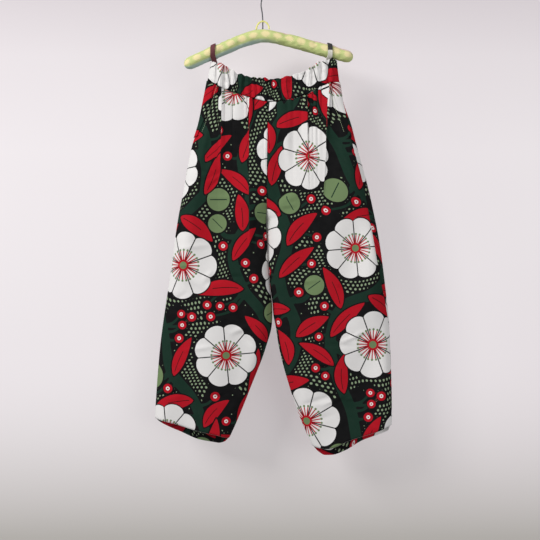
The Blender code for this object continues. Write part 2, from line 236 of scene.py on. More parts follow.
# %% Wall
WALL_BEHIND = 0.095  # from the middle of the cloth to the wall
WALL_CORNERS = ((-9, -6), (9, -6), (9, 5), (-9, 5))
WALL_GLOW = 0.90  # stands for the light that a whole pale room throws back on its wall
WALL_PAINT = paint("ada7a9"), paint("b3afb0")  # two greys, mixed in soft clouds
LOW_DARK, LOW_FADE, LOW_PAINT = -0.90, 0.45, paint("817e79")  # the wall darkens below this height
HIGH_DARK = ((-0.40, 0.9), (-0.16, 1.6))  # and above these heights, by these shares a metre
HIGH_PAINT = paint("948d90")


def in_scene(name, mesh, *shades):
    """An object of this mesh in the scene, with its materials."""
    for shade in shades:
        mesh.materials.append(shade.material)
    made = bpy.data.objects.new(name, mesh)
    bpy.context.scene.collection.objects.link(made)
    return made


plaster = Shade("painted_wall", roughness=0.95)
place = plaster.place()
_, _, level = plaster.parts(place)
colour = plaster.mix(*WALL_PAINT, plaster.noise(place, 1.3))
fall = ((LOW_DARK - level) / LOW_FADE).higher(0)
colour = plaster.mix(colour, LOW_PAINT, (fall * fall * 0.85).lower(0.9))
first, then = ((level - height).higher(0) * share for height, share in HIGH_DARK)
colour = plaster.mix(colour, HIGH_PAINT, (first + then).lower(0.7))
plaster.feed("Base Color", colour)
plaster.feed("Emission Color", colour)
plaster.surface.inputs["Emission Strength"].default_value = WALL_GLOW

from_camera = plaster.add("ShaderNodeLightPath")
behind = plaster.add("ShaderNodeNewGeometry", out=6)
clear = plaster.add("ShaderNodeBsdfTransparent")
surface = Term(plaster, plaster.surface.outputs[0])
seen = plaster.add("ShaderNodeMixShader", {}, {0: from_camera * (1 - behind), 1: clear, 2: surface})
plaster.plug(plaster.tree.nodes["Material Output"].inputs["Surface"], seen)

mesh = bpy.data.meshes.new("wall")
mesh.from_pydata([(x, WALL_BEHIND, z) for x, z in WALL_CORNERS], [], [(0, 1, 2, 3)])
wall = in_scene("wall", mesh, plaster)
print("the wall stands", round(WALL_BEHIND - cad_high.y, 3), "m behind the cloth")

# %% World
SKY_STRENGTH = 0.40
SKY_COLOUR = (0.95, 0.96, 1.0, 1.0)
SEEN_COLOUR = paint("e2dde0")  # what the camera sees past the wall
world = bpy.data.worlds.new("room")
bpy.context.scene.world = world
world.use_nodes = True
room = Nodes(world.node_tree)
sky = room.tree.nodes["Background"]
sky.inputs["Color"].default_value = SKY_COLOUR
sky.inputs["Strength"].default_value = SKY_STRENGTH
seen_sky = room.add("ShaderNodeBackground", {}, {"Color": SEEN_COLOUR})
from_camera = room.add("ShaderNodeLightPath")
both = {0: from_camera, 1: Term(room, sky.outputs[0]), 2: seen_sky}
either = room.add("ShaderNodeMixShader", {}, both)
room.plug(room.tree.nodes["World Output"].inputs["Surface"], either)
print("sky strength", SKY_STRENGTH)

# %% [markdown]
# ## The form of the legs
#
# Hung by the waist, each leg is a flattened tube. The solids of the packed model are cut from it
# in wide facets, and smoothing those would round off the seams and the hems as well. So the same
# few sections are written again here, and a smooth curve runs through each column of them. A point
# on a leg is then named by its turn, from -1 at the inner edge of the front, through 0 at the
# outline, to 1 at the inner edge of the back.

# %% Sections of the legs, from the waist down
LEFT, RIGHT = 1, -1  # the wearer's sides, as signs of X
SIDE_WORDS = {LEFT: "left", RIGHT: "right"}
SECTION_COLUMNS = ("height", "right_out", "right_in", "leg_gap", "left_out", "half_depth", "wrap")
SECTIONS = (
    (-0.195, -0.1215, 0.0155, 0.0000, 0.1750, 0.0130, 0.000),
    (-0.250, -0.1315, 0.0155, 0.0000, 0.1815, 0.0130, 0.000),
    (-0.300, -0.1412, 0.0150, 0.0000, 0.1915, 0.0165, 0.003),
    (-0.350, -0.1515, 0.0120, 0.0000, 0.2090, 0.0210, 0.008),
    (-0.410, -0.1698, 0.0110, 0.0000, 0.2245, 0.0260, 0.011),
    (-0.500, -0.1865, 0.0095, 0.0000, 0.2492, 0.0310, 0.012),
    (-0.574, -0.2005, 0.0092, 0.0000, 0.2655, 0.0340, 0.015),
    (-0.620, -0.2075, 0.0105, 0.0000, 0.2745, 0.0350, 0.016),
    (-0.670, -0.2140, 0.0125, 0.0000, 0.2820, 0.0350, 0.015),
    (-0.730, -0.2225, 0.0167, 0.0000, 0.2895, 0.0350, 0.010),
    (-0.790, -0.2315, 0.0228, 0.0010, 0.2962, 0.0340, 0.004),
    (-0.820, -0.2360, 0.0224, 0.0058, 0.2990, 0.0330, 0.002),
    (-0.880, -0.2435, 0.0076, 0.0304, 0.3020, 0.0310, 0.001),
    (-0.970, -0.2510, -0.0266, 0.0885, 0.3052, 0.0270, 0.000),
    (-1.050, -0.2560, -0.0588, 0.1483, 0.3060, 0.0230, 0.000),
    (-1.145, -0.2595, -0.1030, 0.2350, 0.3060, 0.0210, 0.000),
)
WAIST_COLUMNS = ("x", "seam", "top")
WAIST = (
    (-0.135, -0.2460, -0.2035),
    (-0.100, -0.2660, -0.2095),
    (-0.052, -0.2840, -0.2370),
    (0.022, -0.3010, -0.2465),
    (0.095, -0.2870, -0.2290),
    (0.137, -0.2640, -0.2060),
    (0.163, -0.2550, -0.1985),
    (0.185, -0.2530, -0.2050),
)
HEM_COLUMNS = ("share", "right", "left")
HEMS = (
    (-1.00, -1.0930, -1.1120),
    (-0.85, -1.0850, -1.1170),
    (-0.50, -1.0710, -1.0935),
    (-0.20, -1.0540, -1.0760),
    (0.00, -1.0460, -1.0620),
    (0.03, -1.0545, -1.0790),
    (0.15, -1.0700, -1.0905),
    (0.35, -1.0848, -1.1035),
    (0.60, -1.1008, -1.1262),
    (0.80, -1.1070, -1.1372),
    (0.89, -1.1090, -1.1380),
    (0.96, -1.1050, -1.1290),
    (1.00, -1.0930, -1.1120),
)
ROLL = 1.3  # width of a rolled edge, in half depths
CROTCH = -0.574
CROTCH_CURVES = {"front": 0.105, "back": 0.150}
SEAM_GAP = 0.0003
print("sections", len(SECTIONS), "from", SECTIONS[0][0], "down to", SECTIONS[-1][0])


# %% Smooth curves through the tables
def smooth_curve(table, columns, place, value):
    """A smooth function from one column of a table to another, which never swings past a row."""
    rows = sorted((row[columns.index(place)], row[columns.index(value)]) for row in table)
    places, values = (np.array(part, dtype=float) for part in zip(*rows))
    steps = np.diff(values) / np.diff(places)
    before, after = np.append(steps[0], steps), np.append(steps, steps[-1])
    turning = before * after <= 0
    slopes = np.where(turning, 0, 2 * before * after / np.where(turning, 1, before + after))

    def at(where):
        where = np.clip(where, places[0], places[-1])
        low = np.clip(np.searchsorted(places, where) - 1, 0, len(places) - 2)
        span = places[low + 1] - places[low]
        t = (where - places[low]) / span
        rise = 3 * t**2 - 2 * t**3
        return (values[low] * (1 - rise) + values[low + 1] * rise
                + span * (slopes[low] * t * (1 - t) ** 2 - slopes[low + 1] * t**2 * (1 - t)))

    return at


def section(name):
    return smooth_curve(SECTIONS, SECTION_COLUMNS, "height", name)


OUTER = {RIGHT: section("right_out"), LEFT: section("left_out")}
CENTRE, LEG_GAP, HALF_DEPTH, WRAP = (section(n) for n in ("right_in", "leg_gap", "half_depth", "wrap"))
WAIST_SEAM = smooth_curve(WAIST, WAIST_COLUMNS, "x", "seam")
WAIST_TOP = smooth_curve(WAIST, WAIST_COLUMNS, "x", "top")
HEM = {side: smooth_curve(HEMS, HEM_COLUMNS, "share", word) for side, word in SIDE_WORDS.items()}
print("a leg is", round(float(2 * HALF_DEPTH(-0.67)) * 1000), "mm deep at the knee")


# %% A leg's surface
def across(turn):
    """Share of the leg's width between the outline and this turn."""
    return (1 - np.cos(np.pi * turn)) / 2


def rolled(distance, height):
    """How much of the half depth is reached at a distance in from a rolled edge."""
    inward = np.clip(distance / (ROLL * HALF_DEPTH(height)), 0, 1)
    return np.sqrt(1 - (1 - inward) ** 2)


def inner_edge(side, height):
    return CENTRE(height) + LEG_GAP(height) * (side == LEFT) + side * SEAM_GAP / 2


def turn_at(side, x, height):
    """The front's turn at a distance from the hook."""
    outer, inner = OUTER[side](height), inner_edge(side, height)
    return -np.arccos(np.clip(1 - 2 * (outer - x) / (outer - inner), -1, 1)) / np.pi


def height_at(side, turn, down):
    """Height of a point that is this share of the way down from the waist seam to the hem."""
    waist = WAIST_SEAM(0.0)
    for _ in range(5):
        outer, inner = OUTER[side](waist), inner_edge(side, waist)
        waist = WAIST_SEAM(outer - (outer - inner) * across(turn))
    return waist * (1 - down) + HEM[side](np.sign(turn) * across(turn)) * down


def leg_point(side, turn, height, relief=None):
    """Points on the outside of a leg, which stand proud by relief(front, x, height)."""
    outer, inner = OUTER[side](height), inner_edge(side, height)
    x = outer - (outer - inner) * across(turn)
    curve = np.where(turn < 0, CROTCH_CURVES["front"], CROTCH_CURVES["back"])
    below = np.clip((CROTCH + curve - height) / curve, 0, 1)
    centre = np.sqrt(1 - below**2)
    share = rolled(np.abs(outer - x), height)
    share = share * (centre + (1 - centre) * rolled(np.abs(x - inner), height))
    depth = HALF_DEPTH(height) * share
    if relief is not None:
        depth = depth + relief(turn < 0, x, height) * share**2
    return np.stack([x, np.where(turn < 0, -depth, depth), height + 0 * x], axis=-1)


at_knee = leg_point(LEFT, -0.5, -0.67)
print("middle of the left front at the knee", [round(float(v), 3) for v in at_knee])

# %% [markdown]
# ## Folds
#
# Two pleats are pressed into the top of each front. Each is a fold of spare cloth that opens out
# below, and its edge shows as a line where the print jumps. The elastic draws the waist together,
# so the cloth under it starts in short ripples that die out downwards. Lower down there are only
# slack places, and a few soft creases where the cloth was handled. A cloth simulation could make
# these, but not where they are wanted, so they are placed as soft ridges and troughs.

# %% Pleats
PLEATS = (  # side, X at the waist, X at its foot, height of its foot, spare cloth
    (RIGHT, -0.0310, -0.0310, -0.640, 0.030),
    (RIGHT, -0.0970, -0.0990, -0.440, 0.034),
    (LEFT, 0.1035, 0.1080, -0.520, 0.032),
    (LEFT, 0.1590, 0.1400, -0.560, 0.036),
)
PLEAT_HEIGHT = 0.0056
PLEAT_REACH = 0.020
PLEAT_DROP = 0.0012


def pleat_line(pleat, height):
    """X of a pleat's fold, and how much of the pleat is left there."""
    side, x_waist, x_foot, foot = pleat[:4]
    waist = WAIST_SEAM(x_waist)
    down = np.clip((waist - height) / (waist - foot), 0, 1)
    share = (x_foot - inner_edge(side, foot)) / (OUTER[side](foot) - inner_edge(side, foot))
    outer, inner = OUTER[side](height), inner_edge(side, height)
    x = np.where(height > foot, x_waist + (x_foot - x_waist) * down, inner + (outer - inner) * share)
    return x, (1 - down) ** 0.7


def pleat_rise(side, x, height):
    rise = np.zeros_like(x)
    for pleat in PLEATS:
        if pleat[0] == side:
            fold, left = pleat_line(pleat, height)
            past = side * (x - fold)
            climb = np.clip(1 + past / PLEAT_REACH, 0, 1) ** 1.6
            drop = np.clip(1 - past / PLEAT_DROP, 0, 1)
            rise += PLEAT_HEIGHT * left * np.where(past < 0, climb, drop)
    return rise


print("pleats", len(PLEATS), "each up to", PLEAT_HEIGHT * 1000, "mm high")

# %% Gathers under the waist
TROUGH_DEPTH = 0.0042
RIDGE_HEIGHT = 0.0040
RIDGE_WIDTH = 1 / 2.4  # of the way from one trough to the next
TROUGH_SHARE, TROUGH_WIDTH = (0.30, 1.0), (0.0010, 0.0022)
rng = np.random.default_rng(7)


def gathers(low, high, steps, spare, fade):
    """Uneven troughs along the waist: place, share of the full depth, half width, hidden cloth
    and the length over which it dies out."""
    found, x = [], low
    while x < high:
        share, width = rng.uniform(*TROUGH_SHARE) ** 1.4, rng.uniform(*TROUGH_WIDTH)
        found.append((x, share, width, rng.uniform(*spare), rng.uniform(*fade)))
        x += rng.uniform(*steps)
    return found


GATHERS = {front: gathers(-0.118, 0.172, (0.0075, 0.0270), (0.007, 0.019), (0.020, 0.120))
           for front in (True, False)}


def gather_rise(front, x, height):
    under = np.clip(WAIST_SEAM(x) - height, 0, 1)
    rise = np.zeros_like(x)
    for on_front, troughs in GATHERS.items():
        for (place, share, width, _, fade), beyond in zip(troughs, troughs[1:]):
            dip = -TROUGH_DEPTH * share * np.exp(-((x - place) / width) ** 2 - under / fade)
            middle, reach = (place + beyond[0]) / 2, (beyond[0] - place) * RIDGE_WIDTH
            bulge = RIDGE_HEIGHT * share * np.exp(-((x - middle) / reach) ** 2 - under / (1.3 * fade))
            rise += np.where(front == on_front, dip + bulge, 0)
    return rise


def hidden_in_gathers(troughs, x, under, ease=0.6):
    """Cloth folded away in the troughs between the hook's line and x. ease spreads each step."""
    hidden = np.zeros_like(x)
    for place, share, width, spare, fade in troughs:
        step = 0.5 + 0.5 * np.tanh((x - place) / (ease * width))
        hidden += spare * share * (step - (place < 0)) * np.exp(-np.clip(under, 0, 1) / fade)
    return hidden


print("troughs in front", len(GATHERS[True]), "and behind", len(GATHERS[False]))

# %% Slack places
SLACK = 0.0036 / 2.2  # height of one of the waves in which slack cloth wanders
SLACK_ACROSS, SLACK_DOWN = (18, 62), (5, 22)  # how fast a wave turns, in radians a metre
SLACK_WAVES = [(rng.uniform(*SLACK_ACROSS), rng.uniform(*SLACK_DOWN), rng.uniform(0, 6.3))
               for _ in range(9)]
SETTLE = 0.10  # the waist holds the slack cloth flat down to here


def slack_rise(front, x, height):
    held = np.clip((WAIST_SEAM(x) - height) / SETTLE, 0.15, 1)
    total = sum(np.sin(a * x + (b if number % 2 else -b) * height + phase + 2 * front)
                for number, (a, b, phase) in enumerate(SLACK_WAVES))
    return SLACK * held * total


print("slack waves", len(SLACK_WAVES), "of", round(SLACK * 1000, 1), "mm")

# %% Creases
CREASE_SCALE = 2.6  # on all the heights below
SMALL_CREASES = 64  # short ones on each face, as any worn cotton has
SMALL_SPANS = ((-0.24, 0.29), (-1.09, -0.30), (-0.9, 0.9), (0.025, 0.075))  # x, height, turn, length
SMALL_PROUD, SMALL_WIDTH = (0.0004, 0.0011), (0.0035, 0.0065)
CREASES = {  # front, then back: start and end (x, height), how proud it stands, its half width
    True: [
        (-0.014, -0.575, -0.021, -0.655, -0.0011, 0.0060),
        (0.160, -0.405, 0.196, -0.445, 0.0012, 0.0050),
        (0.178, -0.398, 0.206, -0.470, 0.0009, 0.0055),
        (-0.178, -1.020, -0.150, -1.045, 0.0011, 0.0060),
        (0.212, -0.850, 0.226, -0.892, 0.0010, 0.0060),
        (-0.120, -0.330, -0.150, -0.460, 0.0014, 0.0090),
        (0.055, -0.330, 0.060, -0.450, 0.0013, 0.0080),
        (-0.200, -0.700, -0.120, -0.742, 0.0012, 0.0110),
        (0.110, -0.960, 0.200, -0.990, 0.0012, 0.0120),
        (0.020, -0.560, 0.095, -0.505, 0.0015, 0.0110),
        (-0.002, -0.560, -0.080, -0.520, 0.0014, 0.0110),
    ],
    False: [
        (0.020, -0.585, 0.130, -0.520, 0.0018, 0.0120),
        (-0.002, -0.585, -0.110, -0.530, 0.0018, 0.0120),
        (0.015, -0.400, 0.110, -0.440, 0.0013, 0.0120),
        (0.015, -0.420, -0.090, -0.455, 0.0012, 0.0110),
        (-0.060, -0.690, -0.200, -0.735, 0.0014, 0.0110),
        (0.100, -0.720, 0.240, -0.760, 0.0014, 0.0120),
        (-0.110, -0.900, -0.200, -0.930, 0.0012, 0.0100),
        (0.130, -0.940, 0.260, -0.960, 0.0012, 0.0100),
    ],
}
placed_by_hand = sum(len(creases) for creases in CREASES.values())
for _ in range(SMALL_CREASES):
    for creases in CREASES.values():
        x, height, turn, long = (rng.uniform(*span) for span in SMALL_SPANS)
        proud = rng.choice((-1, 1)) * rng.uniform(*SMALL_PROUD)
        end = x + long * math.cos(turn), height + long * math.sin(turn)
        creases.append((x, height, *end, proud, rng.uniform(*SMALL_WIDTH)))


def crease_rise(front, x, height):
    rise = np.zeros_like(x)
    for on_front, creases in CREASES.items():
        for x0, z0, x1, z1, proud, half_width in creases:
            run, drop = x1 - x0, z1 - z0
            along = ((x - x0) * run + (height - z0) * drop) / (run**2 + drop**2)
            inside = np.clip(along, 0, 1)
            away = np.hypot(x - x0 - inside * run, height - z0 - inside * drop)
            fade = np.sin(np.pi * np.clip(0.12 + 0.76 * along, 0, 1))
            crease = CREASE_SCALE * proud * fade * np.exp(-(away / half_width) ** 2)
            rise += np.where(front == on_front, crease, 0)
    return rise


print("creases placed by hand", placed_by_hand, "and small ones", 2 * SMALL_CREASES)


# %% All the folds of a leg
def folds(side):
    """All that stands proud of one leg's form."""
    def relief(front, x, height):
        rise = gather_rise(front, x, height) + crease_rise(front, x, height)
        rise = rise + slack_rise(front, x, height)
        return rise + np.where(front, pleat_rise(side, x, height), 0)
    return relief


trial = folds(LEFT)(np.array([True]), np.array([0.15]), np.array([-0.60]))
print("the left front stands", round(float(trial[0]) * 1000, 1), "mm proud at the thigh")

# %% [markdown]
# ## Panels as grids
#
# A panel is a grid of points: rows run round the leg and columns run down it. Columns crowd at
# the pleats and at the seams, where the form changes within a few millimetres. Each point also
# gets its place on the flat cloth, measured along the row in metres, with the spare cloth of a
# pleat counted in. The print is drawn in those flat places, so it breaks at pleats and seams.
#
# A seam draws its two edges in, which leaves a fine groove. Below the crotch the two legs press
# together instead, so the edges stay full there and no light shows between them.

# %% Grids of the fronts and backs
PANEL_ROWS = 236
BACK_COLUMNS = (5, 128, 5)  # edge, middle, edge
FRONT_COLUMNS = (5, 40, 17, 4, 24, 17, 4, 46, 5)  # as the backs, with two pleats in between
EDGE_TURN = 0.030
POCKET_INSET = 0.013
POCKET_FOOT = -0.372


def spans(knots, counts):
    """Stops that fill the spans between neighbouring knots."""
    stops = [knots[0]]
    for low, high, count in zip(knots, knots[1:], counts):
        stops += [low + (high - low) * step / count for step in range(1, count + 1)]
    return np.stack(stops, axis=-1)


def pocket_edge(side, height):
    """X of the front's outer edge: the side seam, or the pocket mouth above its foot."""
    seam = OUTER[side](height) - side * (WRAP(height) if side == LEFT else 0)
    up = np.clip((height - POCKET_FOOT) / (WAIST_SEAM(seam) - POCKET_FOOT), 0, 1)
    return seam - side * POCKET_INSET * up


def side_seam_turn(side, height):
    wrap = WRAP(height) if side == LEFT else np.zeros_like(height)
    return turn_at(side, OUTER[side](height) - side * wrap, height)


def front_turns(side):
    down = np.linspace(0, 1, PANEL_ROWS + 1)[:, None]
    turn = np.linspace(-1, 0, sum(FRONT_COLUMNS) + 1)[None, :] + 0 * down
    for _ in range(4):
        height = height_at(side, turn, down)
        middle = height[:, turn.shape[1] // 2]
        knots = [np.full_like(middle, -1.0), np.full_like(middle, EDGE_TURN - 1)]
        for pleat in PLEATS:
            if pleat[0] == side:
                fold = pleat_line(pleat, middle)[0]
                for past in (-PLEAT_REACH, 0, PLEAT_DROP):
                    knots.append(turn_at(side, fold + side * past, middle))
        end = turn_at(side, pocket_edge(side, height[:, -1]), height[:, -1])
        turn = spans([*knots, end - EDGE_TURN, end], FRONT_COLUMNS)
    return turn, height_at(side, turn, down)


def back_turns(side):
    down = np.linspace(0, 1, PANEL_ROWS + 1)[:, None]
    turn = np.zeros_like(down)
    for _ in range(4):
        seam = side_seam_turn(side, height_at(side, turn[:, :1], down))[:, 0]
        turn = spans([seam, seam + EDGE_TURN, 0 * seam + 1 - EDGE_TURN, 0 * seam + 1], BACK_COLUMNS)
    return turn, height_at(side, turn, down)


print("front grid", PANEL_ROWS + 1, "by", sum(FRONT_COLUMNS) + 1)

# %% Sewn edges
EDGE_DIP = 0.0011  # a sewn edge is drawn in by this much
EDGE_WIDTH = 0.0030
PRESSED = (-0.450, -0.830)  # the legs press together between these heights
PRESSED_WIDTH, PRESSED_FADE = 0.006, 0.020


def normals(grid, around=False):
    """Unit normals of a grid of points."""
    if around:
        along = np.roll(grid, -1, axis=1) - np.roll(grid, 1, axis=1)
    else:
        along = np.gradient(grid, axis=1)
    normal = np.cross(along, np.gradient(grid, axis=0))
    return normal / np.maximum(np.linalg.norm(normal, axis=-1, keepdims=True), 1e-12)


def edge_distance(grid):
    """Distance of every point from the nearest edge of its grid, measured along the grid."""
    def from_start(points, axis):
        step = np.linalg.norm(np.diff(points, axis=axis), axis=-1)
        zero = np.zeros_like(np.take(step, [0], axis=axis))
        return np.concatenate([zero, np.cumsum(step, axis=axis)], axis=axis)

    rows, columns = from_start(grid, 1), from_start(grid, 0)
    return np.minimum.reduce([rows, rows[:, -1:] - rows, columns, columns[-1:] - columns])


def pressed(side, grid):
    """1 along the inseams where the legs press together, 0 elsewhere."""
    height = grid[..., 2]
    beside = np.exp(-((grid[..., 0] - inner_edge(side, height)) / PRESSED_WIDTH) ** 2)
    top, foot = PRESSED
    within = np.clip((top - height) / PRESSED_FADE, 0, 1) * np.clip((height - foot) / PRESSED_FADE, 0, 1)
    return beside * within


def sewn(grid, inward, side):
    """The grid with its edges drawn in, as a seam draws them. inward is 1 or -1 along the normals."""
    dip = EDGE_DIP * np.exp(-(edge_distance(grid) / EDGE_WIDTH) ** 2) * (1 - pressed(side, grid))
    return grid + inward * dip[..., None] * normals(grid)


print("edges are drawn in by", EDGE_DIP * 1000, "mm")


# %% Places on the flat cloth
def flat_places(grid, spare=None):
    """Place of every point on the flat cloth, in metres."""
    step = np.linalg.norm(np.diff(grid[..., :2], axis=1), axis=-1)
    if spare is not None:
        step = step + spare
    along = np.concatenate([np.zeros_like(step[:, :1]), np.cumsum(step, axis=1)], axis=1)
    anchor = grid.shape[1] // 2
    sign = np.sign(grid[:, -1, 0] - grid[:, 0, 0])[:, None]
    start = grid[:, anchor, :1] - along[:, anchor, None] * sign
    return np.stack([start + sign * along, grid[..., 2]], axis=-1)


def pleat_spare(side, grid):
    """Cloth hidden in the pleats, between one column and the next."""
    spare = np.zeros_like(grid[:, 1:, 0])
    column = FRONT_COLUMNS[0] + FRONT_COLUMNS[1]
    numbers = [n for n, pleat in enumerate(PLEATS) if pleat[0] == side]
    for order, number in enumerate(numbers):
        first = column + FRONT_COLUMNS[2 + 3 * order]
        drop = FRONT_COLUMNS[3 + 3 * order]
        left = pleat_line(PLEATS[number], grid[:, first, 2])[1]
        spare[:, first:first + drop] = (PLEATS[number][4] * left / drop)[:, None]
        column = first + drop + FRONT_COLUMNS[4 + 3 * order]
    return spare


print("spare cloth in the pleats", sum(pleat[4] for pleat in PLEATS), "m")

# %% [markdown]
# ## The print
#
# The print repeats one block of cloth, which is wider than a leg, so the repeat hardly shows. It
# grows by a few rules, as a plant does. Three thick dark green vines run up the block on black.
# Large off-white daisies hang on short branches. Long red leaves leave the vines on alternate
# sides, and what room is left is filled with round sage leaves, small red flowers and patches of
# dots. A rule is shorter than a long table, and it can't leave two motifs lying askew by accident.

# %% One block of the print
BLOCK = np.array((0.560, 0.620))
DAISIES = ((0.085, 0.095, 0.077, 12), (0.335, 0.060, 0.072, 50), (0.220, 0.275, 0.079, 31),
           (0.475, 0.245, 0.074, 5), (0.070, 0.440, 0.070, 64), (0.375, 0.455, 0.078, 20))
VINES = (  # half width, then points up the block
    (0.0165, ((0.155, 0.000), (0.176, 0.080), (0.150, 0.165), (0.118, 0.250), (0.130, 0.345),
              (0.185, 0.420), (0.195, 0.500), (0.165, 0.570), (0.155, 0.620))),
    (0.0155, ((0.424, 0.000), (0.425, 0.065), (0.398, 0.140), (0.345, 0.210), (0.325, 0.300),
              (0.292, 0.380), (0.275, 0.460), (0.300, 0.540), (0.375, 0.575), (0.424, 0.620))),
    (0.0145, ((0.530, 0.000), (0.510, 0.090), (0.550, 0.170), (0.578, 0.260), (0.560, 0.340),
              (0.515, 0.400), (0.490, 0.480), (0.525, 0.560), (0.530, 0.620))),
)
STEM_PART = 0.82  # share of a stem's room that its colour fills
LEAF_STEP = 0.072  # length of vine from one leaf to the next
LEAF_TRIES = 1500  # places looked at for the motifs that fill the room left
STEM_STEPS = 6  # short straight pieces between two points of a stem
print("a block of", *BLOCK, "m with", len(DAISIES), "daisies and", len(VINES), "vines")

# %% Places in the motifs
def nearest_copy(away):
    """The way from a motif to a place, with the block repeated in both directions."""
    return away - BLOCK * np.round(away / BLOCK)


def turned(away, turn):
    c, s = math.cos(math.radians(turn)), math.sin(math.radians(turn))
    return away[..., 0] * c + away[..., 1] * s, away[..., 1] * c - away[..., 0] * s


def nearest(found):
    """The nearest of many motifs, each given as (a, b, distance)."""
    found = np.stack([np.stack(np.broadcast_arrays(*each), axis=-1) for each in found])
    pick = found[..., 2].argmin(axis=0)
    return np.take_along_axis(found, pick[None, ..., None], axis=0)[0]


def in_leaves(place, leaves):
    """Share of the way along the leaf, distance to its side in half widths, distance outside it."""
    found = []
    for x, y, turn, length, half_width, bend in leaves:
        reach = length / 2
        middle = (x + reach * math.cos(math.radians(turn)), y + reach * math.sin(math.radians(turn)))
        a, b = turned(nearest_copy(place - middle), turn)
        along = a / length + 0.5
        b = b - 2 * bend * length * along * (1 - along)
        width = half_width * np.sin(np.pi * np.clip(along, 0, 1) ** 0.85) ** 0.8
        beyond = np.hypot(np.maximum(np.abs(a) - reach, 0), b)
        found.append((along, b / half_width, np.where(np.abs(a) > reach, beyond, np.abs(b) - width)))
    return nearest(found)


def in_discs(place, discs):
    """Place in a round motif, in radii, and the distance outside it."""
    found = []
    for x, y, radius, turn in discs:
        a, b = turned(nearest_copy(place - np.array((x, y))), turn)
        found.append((a / radius, b / radius, np.hypot(a, b) - radius))
    return nearest(found)


def through(points):
    """Short steps along a smooth curve through the points."""
    points = np.array(points, dtype=float)
    points = np.vstack([2 * points[0] - points[1], points, 2 * points[-1] - points[-2]])
    line = []
    for a, b, c, d in zip(points, points[1:], points[2:], points[3:]):
        for t in np.linspace(0, 1, STEM_STEPS, endpoint=False):
            line.append(0.5 * (2 * b + (c - a) * t + (2 * a - 5 * b + 4 * c - d) * t**2
                               + (3 * b - a - 3 * c + d) * t**3))
    return np.array([*line, points[-2]])


def outside_stems(place, stems):
    found = np.ones(place.shape[:-1])
    for start, end, line in stems:
        widths = np.linspace(start, end, len(line))
        for a, b, wide, narrow in zip(line, line[1:], widths, widths[1:]):
            way = b - a
            away = nearest_copy(place - (a + b) / 2) + way / 2
            along = np.clip(away @ way / (way @ way), 0, 1)
            gap = np.hypot(away[..., 0] - along * way[0], away[..., 1] - along * way[1])
            found = np.minimum(found, gap - wide - (narrow - wide) * along)
    return found


print("points along the vines", [len(through(points)) for _, points in VINES])

# %% Leaves grow along the vines
LEAF_CLEAR = 0.004  # room kept between two motifs
UNDER_DAISY = 0.012  # how far a leaf may run in under a daisy
LEAF_CROSSING = 0.2  # share of a leaf that may cross other leaves
LEAF_TURNS = 6  # directions tried for each leaf
LEAF_SPREAD = (24, 70)  # degrees between a leaf and its vine
LEAF_LENGTH, LEAF_HALF_WIDTH, LEAF_BEND = (0.086, 0.124), (0.0140, 0.0185), (0.06, 0.22)
grow = np.random.default_rng(21)
stems = [(width, width, through(points)) for width, points in VINES]
vine_points = np.concatenate([line for _, _, line in stems])
leaves = {"leaf_under": [], "leaf_over": []}


def branch(place, width, sway=0.25):
    """A stem from the nearest vine to a place, which swells where it leaves the vine."""
    away = nearest_copy(vine_points - place)
    start = away[np.hypot(*away.T).argmin()]
    middle = start / 2 + sway * np.array((-start[1], start[0])) * grow.choice((-1, 1))
    stems.append((width * 1.5, width, place + through((start, middle, 0 * start))))


def leaf_spine(x, y, turn, length, half_width, bend):
    """Points down the middle of a leaf."""
    along = np.linspace(0.08, 1, 7)
    c, s = math.cos(math.radians(turn)), math.sin(math.radians(turn))
    a, b = along * length, 2 * bend * length * along * (1 - along)
    return np.stack([x + a * c - b * s, y + a * s + b * c], axis=-1)


def try_leaf(leaf):
    """Keeps a leaf if a set has room for it and it doesn't run far under a daisy."""
    spine = leaf_spine(*leaf)
    if in_discs(spine, DAISIES)[..., 2].min() < -UNDER_DAISY:
        return False
    both = [in_leaves(spine, kept)[..., 2] for kept in leaves.values() if kept]
    if both and np.mean([near < LEAF_CLEAR for near in both]) * len(both) > LEAF_CROSSING:
        return False
    for kept in leaves.values():
        if not kept or in_leaves(spine, kept)[..., 2].min() > leaf[4] + LEAF_CLEAR:
            kept.append(leaf)
            return True
    return False


for _, _, line in list(stems):
    way = np.gradient(line, axis=0)
    run = np.cumsum(np.hypot(*way.T))
    for number, stop in enumerate(np.arange(0.01, run[-1], LEAF_STEP)):
        at = int(np.searchsorted(run, stop))
        hand = -1 if number % 2 else 1
        along_vine = math.degrees(math.atan2(way[at][1], way[at][0]))
        for _ in range(LEAF_TURNS):
            turn = along_vine + hand * grow.uniform(*LEAF_SPREAD)
            leaf = (*line[at], turn, grow.uniform(*LEAF_LENGTH), grow.uniform(*LEAF_HALF_WIDTH),
                    -hand * grow.uniform(*LEAF_BEND))
            if try_leaf(leaf):
                break
print("leaves", [len(kept) for kept in leaves.values()])

# %% Branches, round leaves and small flowers fill the room left
ROUND_LEAVES, FLORETS = 9, 34  # how many at most
ROUND_TRIES = 700  # of the places looked at, the first ones may take a round leaf
ROUND_RADIUS, FLORET_RADIUS = (0.0215, 0.0280), (0.0098, 0.0112)
ROUND_OFF_VINE, FLORET_OFF_VINE, FLORET_CLEAR = 0.006, 0.010, 0.0158
DAISY_STEM, ROUND_STEM, FLORET_STEM = 0.0100, 0.0055, 0.0030  # half widths
for x, y, *_ in DAISIES:
    branch(np.array((x, y)), DAISY_STEM)

